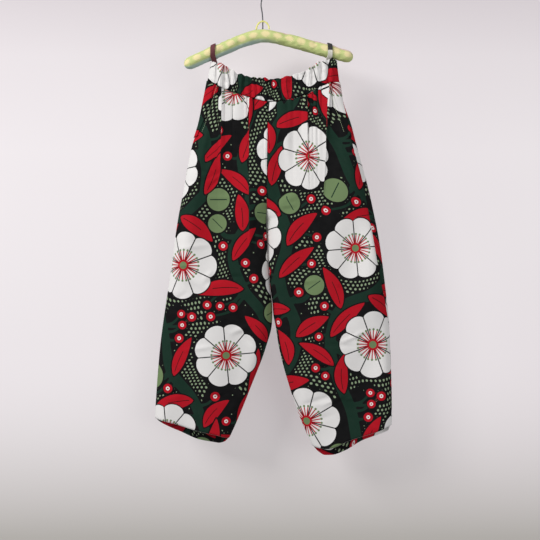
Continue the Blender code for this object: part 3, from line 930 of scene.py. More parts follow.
round_leaves, florets = [], []
for attempt in range(LEAF_TRIES):
    place = grow.uniform(0, 1, 2) * BLOCK
    discs = round_leaves + florets
    clear = min(in_discs(place, DAISIES)[2], *(in_leaves(place, kept)[2] for kept in leaves.values()),
                in_discs(place, discs)[2] if discs else 1)
    off_vine = outside_stems(place, stems[:len(VINES)])
    if attempt < ROUND_TRIES and len(round_leaves) < ROUND_LEAVES:
        radius = grow.uniform(*ROUND_RADIUS)
        if clear > radius + LEAF_CLEAR and off_vine > ROUND_OFF_VINE:
            round_leaves.append((*place, radius, grow.uniform(0, 360)))
            branch(place, ROUND_STEM)
    elif len(florets) < FLORETS and clear > FLORET_CLEAR and off_vine > FLORET_OFF_VINE:
        florets.append((*place, grow.uniform(*FLORET_RADIUS), grow.uniform(0, 360)))
        branch(place, FLORET_STEM, 0.15)
print("round leaves", len(round_leaves), "small flowers", len(florets))

# %% [markdown]
# ## Inks and the cotton
#
# Such a cotton is printed ink over ink, each with a crisp edge, and its reverse shows the same
# design faded. An image is the usual way to put a print on cloth, but it blurs up close. Here the
# points of a sheet carry their place in the nearest leaf, flower and stem, and the material works
# out from it which ink is on top, so an edge is sharp at any distance.

# %% What each point of the cloth is told
def print_places(place):
    """All that the material needs to know at these places of the flat cloth."""
    drawn = [(STEM_PART * start, STEM_PART * end, line) for start, end, line in stems]
    off_stems = outside_stems(place, drawn)
    found = {word: in_leaves(place, kept) for word, kept in leaves.items()}
    for word, discs in (("round_leaf", round_leaves), ("floret", florets), ("daisy", DAISIES)):
        found[word] = in_discs(place, discs)
    room = np.minimum.reduce([off_stems, *(each[..., 2] for each in found.values())])
    a, b = (2 * np.pi * place / BLOCK)[..., 0], (2 * np.pi * place / BLOCK)[..., 1]
    patches = np.sin(3 * a + 1.3 * np.sin(b)) + np.cos(3 * b + 0.8 * np.sin(2 * a + 1))
    found["ground"] = np.stack([off_stems, room, patches], axis=-1)
    found["flat"] = np.concatenate([place, 0 * place[..., :1]], axis=-1)
    return found


print("each point is told", list(print_places(np.zeros((1, 2)))))

# %% Inks of the motifs
INK = {"black": "0d0d0e", "green": "152e23", "sage": "6c8058", "red": "ad0f1f", "white": "dfdcd9",
       "dot": "8a9b7b"}
OUTLINE = 0.0032  # dark line round a motif
SHARP = 0.00025  # half the width of a printed edge
FINE = 0.004  # the same in a daisy, in radii
DOT_SPACING, DOT_RADIUS = 0.0102, 0.0026
DOT_ROOM = 0.0024  # dots shrink to nothing this near to a motif
ROW_SPACING = 0.87 * DOT_SPACING
SPECK_SPACING, SPECK_RADIUS = 0.034, 0.0013
PETALS = 8
PETAL_TURN = 2 * math.pi / PETALS
PETAL_ROUND, PETAL_NOTCH = 3.8, 0.20  # how round a petal's end is, and how deep the notches go
DAISY_OUTLINE, DAISY_LINE = 0.034, 0.017  # the rest of a daisy, in its radii
STAMEN_LONG, STAMEN_RING, STAMEN_TIP = 0.44, 0.46, 0.034
DAISY_MIDDLE, DAISY_EYE = 0.17, 0.11
FLORET_RINGS = (("black", 1.20), ("red", 1.0), ("white", 0.42), ("red", 0.17))  # in its radii


def dot_rows(shade, flat):
    """Distance to the middle of the nearest dot. Every other row is shifted by half a dot, and all
    of them wander a little, so the rows curve."""
    u, v, _ = shade.parts(flat)
    stray = shade.noise(flat, 8.0, 0.0) * 0.06
    row_place = (v - stray) / ROW_SPACING
    row_part = row_place % 1
    column_part = ((u + stray) / DOT_SPACING + (row_place - row_part) * 0.5) % 1
    a, b = (column_part - 0.5) * DOT_SPACING, (row_part - 0.5) * ROW_SPACING
    return (a * a + b * b).root()


def ground_inks(shade, flat):
    """Patches of dots with stray specks between them, and the stems."""
    stems, room, patches = shade.read("ground")
    size = ((room - DOT_ROOM) * 0.60).lower((patches + 0.65) * 0.014).lower(DOT_RADIUS)
    sockets = {"Vector": flat, "Scale": 1 / SPECK_SPACING}
    specks = shade.add("ShaderNodeTexVoronoi", {"voronoi_dimensions": "2D"}, sockets)
    specks = (specks * SPECK_SPACING).below(SPECK_RADIUS, SHARP)
    return [("dot", dot_rows(shade, flat).below(size, SHARP)),
            ("dot", specks * patches.below(-0.7, 0.05) * (1 - room.below(0.006, SHARP))),
            ("green", stems.below(0, SHARP))]


def leaf_inks(shade, word, ink, vein_ink, vein):
    """A leaf with a dark outline and one vein. vein is made from the place across the leaf."""
    a, b, outside = shade.read(word)
    return [("black", outside.below(OUTLINE, SHARP)), (ink, outside.below(0, SHARP)),
            (vein_ink, vein(a, b, outside))]


def round_vein(x, y, outside):
    return abs(y).below(0.040, 0.01) * abs(x).below(0.75, 0.02) * outside.below(0, SHARP)


def long_vein(along, beside, outside):
    rib = abs(beside).below(0.045, 0.015) * abs(along - 0.36).below(0.26, 0.01)
    return rib * outside.below(-0.001, SHARP)


def floret_inks(shade):
    """A small red flower: four rings, one on the other."""
    x, y, outside = shade.read("floret")
    near = outside.below(0.0025, SHARP)
    far = (x * x + y * y).root()
    return [(ink, far.below(radius, 0.02) * near) for ink, radius in FLORET_RINGS]


def daisy_inks(shade):
    """Round-ended petals with a fine line between them, and stamens round a small middle."""
    x, y, outside = shade.read("daisy")
    near = outside.below(0.004, SHARP)
    far = (x * x + y * y).root()
    phase = (y.angle(x) / PETAL_TURN) % 1 - 0.5
    edge = (1 - phase * phase * PETAL_ROUND).higher(0).root() * PETAL_NOTCH + (1 - PETAL_NOTCH)
    petals = (far - edge).below(0, FINE) * near
    gap = (0.5 - abs(phase)) * far * PETAL_TURN
    ray = abs((phase + 0.5) * 3 % 1 - 0.5) * far * (PETAL_TURN / 3)
    tip = ((far - STAMEN_RING) * (far - STAMEN_RING) + ray * ray).root()
    return [("black", (far - edge).below(DAISY_OUTLINE, FINE) * near), ("white", petals),
            ("black", gap.below(DAISY_LINE, FINE) * petals),
            ("red", ray.below(DAISY_LINE, FINE) * far.below(STAMEN_LONG, 0.005) * near),
            ("sage", tip.below(STAMEN_TIP, FINE) * near),
            ("red", far.below(DAISY_MIDDLE, 0.005) * near), ("sage", far.below(DAISY_EYE, 0.005) * near)]


print("inks", list(INK))

# %% Material of the printed cotton
REVERSE_FADE = 0.45  # how far the reverse of the cloth is towards plain grey
WEAVE = 9000  # threads, as radians a metre


def cotton(name, faded=0.0):
    """The printed cloth. Each ink covers the ones before it."""
    shade = Shade(name, roughness=0.86)
    shade.surface.inputs["Specular IOR Level"].default_value = 0.05
    flat = shade.vector("flat")
    inks = ground_inks(shade, flat) + leaf_inks(shade, "round_leaf", "sage", "green", round_vein)
    for word in leaves:
        inks += leaf_inks(shade, word, "red", "black", long_vein)
    colour = paint(INK["black"])
    for ink, mask in inks + floret_inks(shade) + daisy_inks(shade):
        colour = shade.mix(colour, paint(INK[ink]), mask)
    if faded:
        colour = shade.mix(colour, paint("8d8b88"), faded)
    wear = shade.noise(flat, 60.0)
    shade.feed("Base Color", shade.mix(colour, paint("6f6d6c"), wear * 0.05))
    shade.feed("Roughness", wear * 0.14 + 0.79)
    u, v, _ = shade.parts(flat)
    shade.bump((u * WEAVE).sine() * (v * WEAVE).sine(), 0.12, 0.0002)
    return shade


PRINTED = cotton("printed_cotton")
REVERSE = cotton("printed_cotton_reverse", REVERSE_FADE)
print("nodes in the print", len(PRINTED.tree.nodes))

# %% [markdown]
# ## Sheets of cloth
#
# The cotton is under a millimetre thick, with a printed face and a faded one. A Solidify modifier
# could thicken a single layer. Made from a grid of points instead, both faces and the rim between
# them come out in one step, with a material for each face and the print's places on both.

# %% Sheets on a grid
def tell(mesh, name, values):
    """Writes three numbers on every point of a mesh."""
    kept = mesh.attributes.get(name) or mesh.attributes.new(name, "FLOAT_VECTOR", "POINT")
    kept.data.foreach_set("vector", np.asarray(values).ravel().astype(np.float32))


def sheet_faces(rows, columns, around):
    """Faces of the outer side, and of the rim that joins it to the inner side."""
    number = np.arange(rows * columns).reshape(rows, columns)
    right = np.roll(number, -1, axis=1)
    last = columns if around else columns - 1
    outer = [number[:-1, :last], right[:-1, :last], right[1:, :last], number[1:, :last]]
    rim = [(number[0, :last], right[0, :last]), (right[-1, :last], number[-1, :last])]
    if not around:
        rim += [(number[1:, 0], number[:-1, 0]), (number[:-1, -1], number[1:, -1])]
    start, end = (np.concatenate(each) for each in zip(*rim))
    rim = [end, start, start + rows * columns, end + rows * columns]
    return np.stack(outer, axis=-1).reshape(-1, 4), np.stack(rim, axis=-1)


def closed_sheet(name, grid, thickness, outward, shades, place=None, around=False):
    """A sheet with two faces and a rim. Its outer face is on the grid, and looks outward, or away
    from the middle of a ring. The first shade is for the outer face and the rim."""
    normal = normals(grid, around)
    away = grid - grid.mean(axis=(0, 1)) if around else np.array(outward, dtype=float)
    flip = (normal * away).sum() < 0
    normal = -normal if flip else normal
    points = np.concatenate([grid.reshape(-1, 3), (grid - thickness * normal).reshape(-1, 3)])
    outer, rim = sheet_faces(*grid.shape[:2], around)
    faces = np.concatenate([outer, outer[:, ::-1] + len(points) // 2, rim])
    if flip:
        faces = faces[:, ::-1]
    mesh = bpy.data.meshes.new(name)
    mesh.vertices.add(len(points))
    mesh.vertices.foreach_set("co", points.ravel())
    mesh.loops.add(faces.size)
    mesh.loops.foreach_set("vertex_index", faces.ravel().astype(np.int32))
    mesh.polygons.add(len(faces))
    mesh.polygons.foreach_set("loop_start", np.arange(0, faces.size, 4, dtype=np.int32))
    made = in_scene(name, mesh, *shades)
    slots = np.zeros(len(faces), dtype=np.int32)
    slots[len(outer):2 * len(outer)] = len(shades) - 1
    mesh.polygons.foreach_set("material_index", slots)
    mesh.update(calc_edges=True)
    mesh.polygons.foreach_set("use_smooth", np.arange(len(faces)) < 2 * len(outer))
    if place is not None:
        for word, values in print_places(place.reshape(-1, 2)).items():
            tell(mesh, word, np.concatenate([values, values]))
    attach(made, "root")
    return made


print("faces and rim of a 3 by 4 grid", [len(each) for each in sheet_faces(3, 4, around=False)])

# %% Measures of a sheet
def grid_area(grid, around=False):
    grid = np.concatenate([grid, grid[:, :1]], axis=1) if around else grid
    if grid.shape[-1] == 2:
        grid = np.concatenate([grid, 0 * grid[..., :1]], axis=-1)
    first = np.cross(grid[1:, 1:] - grid[:-1, :-1], grid[1:, :-1] - grid[:-1, 1:])
    return float(np.linalg.norm(first, axis=-1).sum() / 2)


def report_fit(node, grid):
    """Measures how far a sheet strays from its packed solid."""
    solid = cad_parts[node]
    solid.data.calc_loop_triangles()
    points = [solid.matrix_world @ vertex.co for vertex in solid.data.vertices]
    tree = BVHTree.FromPolygons(points, [tuple(t.vertices) for t in solid.data.loop_triangles])
    far = max(tree.find_nearest(Vector(point))[3] for point in grid.reshape(-1, 3)[::7])
    print(node, "is within", round(far * 1000, 1), "mm of its solid")


square = np.array([[(0, 0), (1, 0)], [(0, 1), (1, 1)]])
print("a square of 1 m measures", grid_area(square), "m2")

# %% [markdown]
# ## Fronts and backs
#
# Four panels make the legs, and each was cut from its own place in the cloth, so the print breaks
# at every seam. One tube with seams drawn on it would be quicker, but its print would run on
# through them. So each panel is a sheet of its own, with its edges drawn in at the seams.

# %% Fronts and backs
CLOTH = 0.0008
OFFSETS = {("front", RIGHT): (0.000, -0.100), ("front", LEFT): (0.118, 0.085),
           ("back", RIGHT): (0.205, 0.150), ("back", LEFT): (0.047, 0.262)}
cut = {}  # each panel's form, and its places on the flat cloth
for side, word in SIDE_WORDS.items():
    for part, turns, outward in (("front", front_turns, (0, -1, 0)), ("back", back_turns, (0, 1, 0))):
        name = f"{part}_{word}"
        turn, height = turns(side)
        plain = leg_point(side, turn, height)
        inward = 1 if normals(plain)[..., 1].mean() * outward[1] < 0 else -1
        grid = sewn(leg_point(side, turn, height, folds(side)), inward, side)
        spare = pleat_spare(side, plain) if part == "front" else None
        places = flat_places(plain, spare)
        under = WAIST_SEAM(plain[..., 0]) - plain[..., 2]
        places[..., 0] += hidden_in_gathers(GATHERS[part == "front"], plain[..., 0], under)
        cut[name] = plain, places
        shown = flat_places(plain)
        size = np.ptp(shown, axis=(0, 1))
        made = closed_sheet(name + "_cloth", grid, CLOTH, outward, (PRINTED, REVERSE),
                            places + np.array(OFFSETS[part, side]))
        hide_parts(name)
        report_fit(name, grid)
        print(name, "shows", [round(float(v), 3) for v in size], "area", round(grid_area(shown), 3))
        wide = np.ptp(places[..., 0], axis=1)
        at_waist, at_most = round(float(wide[0]), 3), round(float(wide.max()), 3)
        print(name, "is cut", at_waist, "m wide at the waist and", at_most, "m at most")

# %% [markdown]
# ## Waistband
#
# The waistband is a strip of the same cloth folded over elastic. It was sewn on flat and the
# elastic then drew it in, so it stands in deep, uneven ruffles, and the cloth above the elastic
# makes a frill. A cloth simulation could draw a strip in like that, but it would hardly end at
# the right width. So the ruffles are a row of ridges, uneven in width and in height, on a strip of
# the right size. The elastic's own pull shows as two shallow level grooves.

# %% Ruffles of the waistband
BAND_COLUMNS = 560
BAND_ROWS = 26
WAIST_GAP = 0.0009
RUFFLE = 0.0078  # how far a ruffle stands proud
RUFFLE_LEAN = 0.004  # how far a ruffle may lean to one side
RUFFLE_SHARP = 2.65  # the larger, the narrower a ruffle's top
CRINKLE = 0.09  # small crumples, as a share of a ruffle
BAND_EASE = 2.2  # how wide the print is squeezed beside a trough, in half widths
PRINT_SWAY = 0.005  # how far a ruffle carries the print up or down
FRILL = 0.0040  # how far the top edge goes up and down
GROOVE, GROOVE_HALF = 0.0007, 0.05  # the elastic's two level grooves
GROOVES = (0.30, 0.74)  # their places, from 0 at the seam to 1 at the top
BAND_OFFSET = {"front": (0.230, 0.020), "back": (0.190, 0.310)}
BAND_GATHERS = {front: gathers(-0.150, 0.200, (0.0060, 0.0220), (0.010, 0.024), (9.0, 10.0))
                for front in (True, False)}


def ruffle_rise(troughs, x, up):
    """Uneven upright ruffles between the troughs. up goes from 0 at the seam to 1 at the top."""
    rise = np.zeros_like(x)
    for number, ((place, share, *_), beyond) in enumerate(zip(troughs, troughs[1:])):
        lean = RUFFLE_LEAN * math.sin(number * 2.4)
        middle, reach = (place + beyond[0]) / 2 + lean * (up - 0.5), (beyond[0] - place) / RUFFLE_SHARP
        strength = (0.35 + 0.65 * share) * (0.75 + 0.25 * np.cos(3 * up + number * 1.7))
        rise = np.maximum(rise, strength * np.exp(-np.abs((x - middle) / reach) ** 2.3))
    crinkle = np.sin(1650 * x + 5 * np.sin(210 * x) + 3 * up) * np.sin(9 * up + 130 * x)
    return rise + CRINKLE * crinkle


print("troughs in the waistband", [len(troughs) for troughs in BAND_GATHERS.values()])


# %% Waistband halves
def band_grid(front):
    share = np.linspace(0, 1, BAND_COLUMNS)[None, :]
    up = np.linspace(0, 1, BAND_ROWS)[:, None]
    height = WAIST_SEAM(0.0) + 0 * share * up
    for _ in range(6):
        right, left = OUTER[RIGHT](height), OUTER[LEFT](height)
        x = (right + left) / 2 - (left - right) / 2 * np.cos(np.pi * share)
        height = (WAIST_SEAM(x) + WAIST_GAP) * (1 - up) + WAIST_TOP(x) * up
    ridge = ruffle_rise(BAND_GATHERS[front], x, up)
    height = height + FRILL * (ridge - 0.35) * np.clip((up - 0.55) / 0.45, 0, 1) ** 1.5
    elastic = GROOVE * sum(np.exp(-((up - place) / GROOVE_HALF) ** 2) for place in GROOVES)
    near_side = np.clip(np.minimum(x - right, left - x) / 0.012 - 0.3, 0, 1)
    base = HALF_DEPTH(height) * rolled(x - right, height) * rolled(left - x, height)
    ends = EDGE_DIP * np.exp(-(np.minimum(up, 1.6 - up) / 0.05) ** 2)
    depth = base + near_side * (RUFFLE * ridge - elastic) - ends * near_side
    return np.stack([x, -depth if front else depth, height], axis=-1)


for part, outward in (("front", (0, -1, 0)), ("back", (0, 1, 0))):
    name = f"waistband_{part}"
    grid = band_grid(part == "front")
    places = flat_places(np.stack([grid[..., 0], 0 * grid[..., 0], grid[..., 2]], axis=-1))
    troughs = BAND_GATHERS[part == "front"]
    places[..., 0] += hidden_in_gathers(troughs, grid[..., 0], 0 * grid[..., 0], BAND_EASE)
    up = np.linspace(0, 1, BAND_ROWS)[:, None]
    places[..., 1] += PRINT_SWAY * ruffle_rise(troughs, grid[..., 0], up)
    made = closed_sheet(name + "_ruffled", grid, CLOTH, outward, (PRINTED, PRINTED),
                        places + np.array(BAND_OFFSET[part]))
    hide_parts(name)
    drawn_in, cut_wide = float(np.ptp(grid[..., 0])), float(np.ptp(places[..., 0]))
    tall = float(np.mean(grid[-1, :, 2] - grid[0, :, 2]))
    shown = float(np.linalg.norm(np.diff(grid[BAND_ROWS // 2], axis=0), axis=-1).sum())
    report_fit(name, grid)
    sizes = [round(size, 3) for size in (drawn_in, shown, cut_wide)]
    print(name, "is {} m wide, shows {} m of cloth, and is cut {} m".format(*sizes))

# %% [markdown]
# ## Pocket facings
#
# Behind each slanted pocket mouth a facing shows as a sliver up to the side seam. A step in the
# front panel could stand for it, but then the mouth would have no edge of its own. So the facing
# is a sheet on the leg's form, moved in by the cloth and a small gap. Its print runs on from the
# front's.

# %% Pocket facings
LAYER_GAP = 0.0012
FACING_OVERLAP = 0.008
FACING_TAIL = 0.012
FACING_ROWS, FACING_COLUMNS = 60, 16


def moved_in(grid, distance, around=False):
    return grid - distance * normals(grid, around)


def facing_grid(side):
    top = WAIST_SEAM(OUTER[side](POCKET_FOOT))
    height = np.linspace(top, POCKET_FOOT - FACING_TAIL, FACING_ROWS)[:, None]
    inner = pocket_edge(side, height) - side * FACING_OVERLAP
    start, end = turn_at(side, inner, height), side_seam_turn(side, height)
    turn = start + (end - start) * np.linspace(0, 1, FACING_COLUMNS)[None, :]
    height = height + 0 * turn
    lift = WAIST_SEAM(leg_point(side, turn[:1], height[:1])[..., 0]) - height[0]
    height = height + lift * np.linspace(1, 0, FACING_ROWS)[:, None]
    return moved_in(leg_point(side, turn, height, folds(side)), side * (CLOTH + LAYER_GAP))


for side, word in SIDE_WORDS.items():
    name = f"pocket_facing_{word}"
    grid = facing_grid(side)
    places = flat_places(grid)
    plain, front_places = cut[f"front_{word}"]
    order = np.argsort(plain[:, -1, 2])
    mouth = np.interp(grid[:, 0, 2], plain[order, -1, 2], front_places[order, -1, 0])
    places[..., 0] += (mouth - places[:, 0, 0] - side * FACING_OVERLAP)[:, None]
    made = closed_sheet(name + "_cloth", grid, CLOTH, (0, -1, 0), (PRINTED, REVERSE),
                        places + np.array(OFFSETS["front", side]))
    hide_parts(name)
    wide, tall = float(np.ptp(places[..., 0], axis=1).max()), float(np.ptp(places[..., 1]))
    report_fit(name, grid)

# %% [markdown]
# ## Hems
#
# Each hem is the end of the leg's own cloth turned up inside, so its printed side looks into the
# leg. The panel could be folded over in one piece, but so tight a fold needs many more rows. A
# ring of its own, tucked in behind the bottom edge, looks the same.

# %% Hems
HEM_GAP = 0.0016
HEM_DEPTH = 0.024
HEM_ROWS = 14
HEM_STOPS = 120  # along each panel


def edge_places(side, part, turn):
    """Places on the flat cloth along the bottom edge of a panel."""
    turns = {"front": front_turns, "back": back_turns}[part](side)[0][-1]
    edge = cut[f"{part}_{SIDE_WORDS[side]}"][1][-1] + np.array(OFFSETS[part, side])
    return np.stack([np.interp(turn, turns, edge[:, column]) for column in (0, 1)], axis=-1)


for side, word in SIDE_WORDS.items():
    name = f"hem_{word}"
    front_turn = np.linspace(-1, 0, HEM_STOPS)
    back_turn = np.linspace(0.001, 0.999, HEM_STOPS)
    edge = np.concatenate([edge_places(side, "front", front_turn), edge_places(side, "back", back_turn)])
    turn = np.concatenate([front_turn, back_turn])[None, :]
    bottom = height_at(side, turn, 1.0)
    up = HEM_DEPTH * np.linspace(0, 1, HEM_ROWS)[:, None] ** 1.8
    height = bottom + up
    grid = leg_point(side, turn + 0 * height, height, folds(side))
    inside = CLOTH + HEM_GAP * (1 - np.exp(-up / 0.002))
    grid = moved_in(grid, side * inside[..., None], around=True)
    grid[..., 2] = height + 0.0002
    places = np.stack([edge[:, 0] + 0 * height, edge[:, 1] - up], axis=-1)
    made = closed_sheet(name + "_cloth", grid, CLOTH, (0, -1, 0), (REVERSE, PRINTED), places, around=True)
    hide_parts(name)
    report_fit(name, grid)

# %% [markdown]
# ## Hanging loops
#
# The loops are narrow strips that go from inside the waistband over the padded bar and back. Each
# is pulled straight up to the bar and lies on it from there. That way is plain geometry, so it is
# worked out from where the waistband and the bar are, and needs no simulation.

# %% Padded bar's line, which the loops follow
def length_along(line):
    """Length from the start of a line of points to each of them."""
    steps = np.linalg.norm(np.diff(line, axis=0), axis=1)
    return np.concatenate([[0], np.cumsum(steps)])


PAD_RADIUS = 0.0170
PAD_TOP = -0.1250
PAD_BEND = 0.030
ARM_SLOPE = {RIGHT: 0.435, LEFT: 0.279}
ARM_REACH = {RIGHT: 0.1860, LEFT: 0.2140}


def arm_height(x):
    slope = np.where(x < 0, ARM_SLOPE[RIGHT], ARM_SLOPE[LEFT])
    return PAD_TOP - PAD_RADIUS - slope * (np.sqrt(x**2 + PAD_BEND**2) - PAD_BEND)


print("the bar lies", [round(float(arm_height(side * ARM_REACH[side])), 3) for side in SIDE_WORDS],
      "m high at its ends")

# %% Hanging loops
LOOP_WIDTH = 0.0110
LOOP_X = {RIGHT: (-0.1125, -0.1175), LEFT: (0.1540, 0.1585)}
LOOP_TUCK = 0.018
LOOP_TUCK_Y = 0.0052
LOOP_OUT = 0.0017  # how far the strip's outer face stands over the bar
LOOP_CLOTH = 0.0010
LOOP_CROWN = 0.0004  # the middle of the strip stands up by this
LOOP_TURNS, LOOP_ROWS, LOOP_COLUMNS = 28, 160, 9
LOOP_INK = {RIGHT: ("5f242b", "5f242b"), LEFT: ("24231f", "dcd8cc")}  # above and below the bar


def loop_grid(side):
    low_x, bar_x = LOOP_X[side]
    band_top, bar = float(WAIST_TOP(low_x)), float(arm_height(np.array(bar_x)))
    half = LOOP_WIDTH / 2
    slope = float(arm_height(np.array(bar_x + half)) - arm_height(np.array(bar_x - half))) / LOOP_WIDTH
    reach = PAD_RADIUS + LOOP_OUT
    rise = PAD_RADIUS * math.hypot(1, slope) + LOOP_OUT
    drop = bar - band_top
    touch = math.acos(reach / math.hypot(drop, LOOP_TUCK_Y)) - math.atan2(drop, LOOP_TUCK_Y)
    path = [(low_x, -LOOP_TUCK_Y, band_top - LOOP_TUCK, 0), (low_x, -LOOP_TUCK_Y, band_top, 0)]
    path += [(bar_x, -reach * math.cos(a), bar + rise * math.sin(a), 1)
             for a in np.linspace(touch, math.pi - touch, LOOP_TURNS)]
    path += [(low_x, LOOP_TUCK_Y, band_top, 0), (low_x, LOOP_TUCK_Y, band_top - LOOP_TUCK, 0)]
    path = np.array(path)
    stops = length_along(path[:, :3])
    fine = np.linspace(0, stops[-1], LOOP_ROWS)
    path = np.stack([np.interp(fine, stops, path[:, column]) for column in range(4)], axis=-1)
    edge = np.linspace(-1, 1, LOOP_COLUMNS)
    x = path[:, None, 0] + edge * half
    z = path[:, None, 2] + edge * half * slope * path[:, None, 3] + LOOP_CROWN * (1 - edge**2)
    return np.stack([x, path[:, None, 1] + 0 * edge, z], axis=-1), stops[-1]


for side, word in SIDE_WORDS.items():
    name = f"hanging_loop_{word}"
    grid, long = loop_grid(side)
    strip = Shade(f"loop_{word}", roughness=0.8)
    flat = strip.vector("flat")
    _, v, _ = strip.parts(flat)
    top, low = (paint(code) for code in LOOP_INK[side])
    colour = strip.mix(top, low, v.below(0.5, 0.03))
    strip.feed("Base Color", strip.mix(colour, paint("777570"), strip.noise(flat, 900.0) * 0.12))
    strip.bump((v * 4000).sine(), 0.3, 0.0002)
    made = closed_sheet(name + "_strip", grid, LOOP_CLOTH, (0, 0, 1), (strip,))
    bar = float(arm_height(np.array(LOOP_X[side][1])))
    level = np.clip((grid[..., 2] - bar) / 0.02 + 0.55, 0, 1)
    tell(made.data, "flat", [np.stack([grid[..., 0], level, 0 * level], axis=-1)] * 2)
    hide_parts(name)
    report_fit(name, grid)
    print(name, "is", round(float(long), 3), "m long")

# %% [markdown]
# ## Padded bar
#
# The bar is wood or wire inside, wrapped in wadding and covered with a strip of thin printed
# cotton whose seam runs underneath. The cover puckers a little, unevenly, which a swept tube
# would not. So a tube that is a little too thin is blown up by a cloth simulation, as the wadding
# blows up the real cover, while the seam's stitches and the two loops hold it in.

# %% Tubes round a line
def unit_ways(line):
    way = np.gradient(line, axis=0)
    return way / np.linalg.norm(way, axis=1, keepdims=True)


def in_plane(x, z, y=0.0):
    """A line of points that lies in one upright plane."""
    return np.stack([x, np.full_like(x, y), z], axis=-1)


def ring_tube(name, line, radii, shade, turns, proud=None):
    """A closed tube round a line in an upright plane. proud(along, angle) stands out from it."""
    side = np.cross(unit_ways(line), (0, 1, 0))
    angle = np.linspace(0, 2 * np.pi, turns, endpoint=False)[None, :]
    along = length_along(line)[:, None]
    radius = radii[:, None] + (proud(along, angle) if proud else 0)
    front = np.array((0, -1.0, 0))
    out = np.cos(angle)[..., None] * front + np.sin(angle)[..., None] * side[:, None]
    grid = line[:, None] + radius[..., None] * out
    last = (len(line) - 1) * turns
    faces = [(r + c, r + (c + 1) % turns, r + turns + (c + 1) % turns, r + turns + c)
             for r in range(0, last, turns) for c in range(turns)]
    faces += [tuple(range(turns))[::-1], tuple(range(last, last + turns))]
    mesh = bpy.data.meshes.new(name)
    mesh.from_pydata(grid.reshape(-1, 3).tolist(), [], faces)
    mesh.update()
    volume = sum(mesh.vertices[f.vertices[0]].co.dot(f.normal) * f.area for f in mesh.polygons)
    if volume < 0:
        mesh.flip_normals()
    mesh.polygons.foreach_set("use_smooth", [True] * len(mesh.polygons))
    tell(mesh, "flat", np.stack(np.broadcast_arrays(along, np.sin(angle), np.cos(angle)), axis=-1))
    made = in_scene(name, mesh, shade)
    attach(made, "root")
    return made


level_line = in_plane(np.arange(3.0), np.zeros(3))
print("a level line runs along", unit_ways(level_line)[1])

# %% Line of the padded bar
CAP_RINGS = 14  # rings in each round end
BAR_RINGS = 150
ends = {side: side * (ARM_REACH[side] - PAD_RADIUS) for side in (RIGHT, LEFT)}
cap = np.radians(np.linspace(88, 6, CAP_RINGS))
bulge = PAD_RADIUS * np.sin(cap)
x = np.linspace(ends[RIGHT], ends[LEFT], BAR_RINGS)
x = np.concatenate([ends[RIGHT] - bulge, x, (ends[LEFT] + bulge)[::-1]])
radii = np.concatenate([np.cos(cap), np.ones(BAR_RINGS), np.cos(cap)[::-1]]) * PAD_RADIUS
bar_line = in_plane(x, arm_height(x))
print("padded bar", round(float(np.ptp(x)), 3), "m across")

# %% Empty cover
PAD_SLACK = 0.0022  # how far the empty cover lies inside the stuffed bar
STITCH_PITCH, STITCH_HOLD = 0.016, 0.005  # stitches along the seam underneath


def slack_cover(along, angle):
    """The empty cover's form: uneven, and already pressed on where the loops hang."""
    pressed = sum(np.exp(-((x[:, None] - bar_x) / 0.009) ** 2) for _, bar_x in LOOP_X.values())
    uneven = 1 + 0.35 * np.sin(along * 57 + 1) * np.sin(along * 23 + 2 * angle)
    return -PAD_SLACK * uneven * (1 - 0.85 * np.clip(pressed, 0, 1)) * radii[:, None] / PAD_RADIUS


def round_line(points, line):
    """Where points lie by a line: length along it, then sine and cosine of the angle round it."""
    way, stops = unit_ways(line), length_along(line)
    fine = np.linspace(0, stops[-1], 900)
    line, way = (np.stack([np.interp(fine, stops, each[:, k]) for k in range(3)], axis=-1)
                 for each in (line, way))
    near = ((points[:, None, ::2] - line[:, ::2]) ** 2).sum(axis=-1).argmin(axis=1)
    out = points - line[near]
    sine, cosine = out[:, 2] * way[near, 0] - out[:, 0] * way[near, 2], -out[:, 1]
    size = np.hypot(sine, cosine)
    return np.stack([fine[near], sine / size, cosine / size], axis=-1)


def held_cover(points):
    """The stitches of the seam underneath and the two loops hold the cover in."""
    along, sine, _ = round_line(points, bar_line).T
    stitched = (sine < -0.98) & (along % STITCH_PITCH < STITCH_HOLD)
    pressed = np.min([np.abs(points[:, 0] - bar_x) for _, bar_x in LOOP_X.values()], axis=0) < 0.0075
    return np.flatnonzero(stitched | pressed)


print("stitches underneath", int(length_along(bar_line)[-1] / STITCH_PITCH))

# %% Stuffing the cover
PAD_SWELL = 0.0034  # no point of it swells further than this
PAD_CELL = 0.0045
PAD_FRAMES = 20
PAD_PRESSURE = 4.0
PAD_GROWTH = 0.02  # the cover's cloth may grow by this share


def corners_of(mesh):
    found = np.empty(len(mesh.vertices) * 3, dtype=np.float32)
    mesh.vertices.foreach_get("co", found)
    return found.reshape(-1, 3).astype(float)


def worked_out(piece):
    """The piece's mesh with its modifiers worked out."""
    return bpy.data.meshes.new_from_object(piece.evaluated_get(bpy.context.evaluated_depsgraph_get()))


def keep_result(piece):
    """Gives the piece the mesh that its modifiers make, and takes the modifiers off."""
    piece.data = worked_out(piece)
    piece.modifiers.clear()


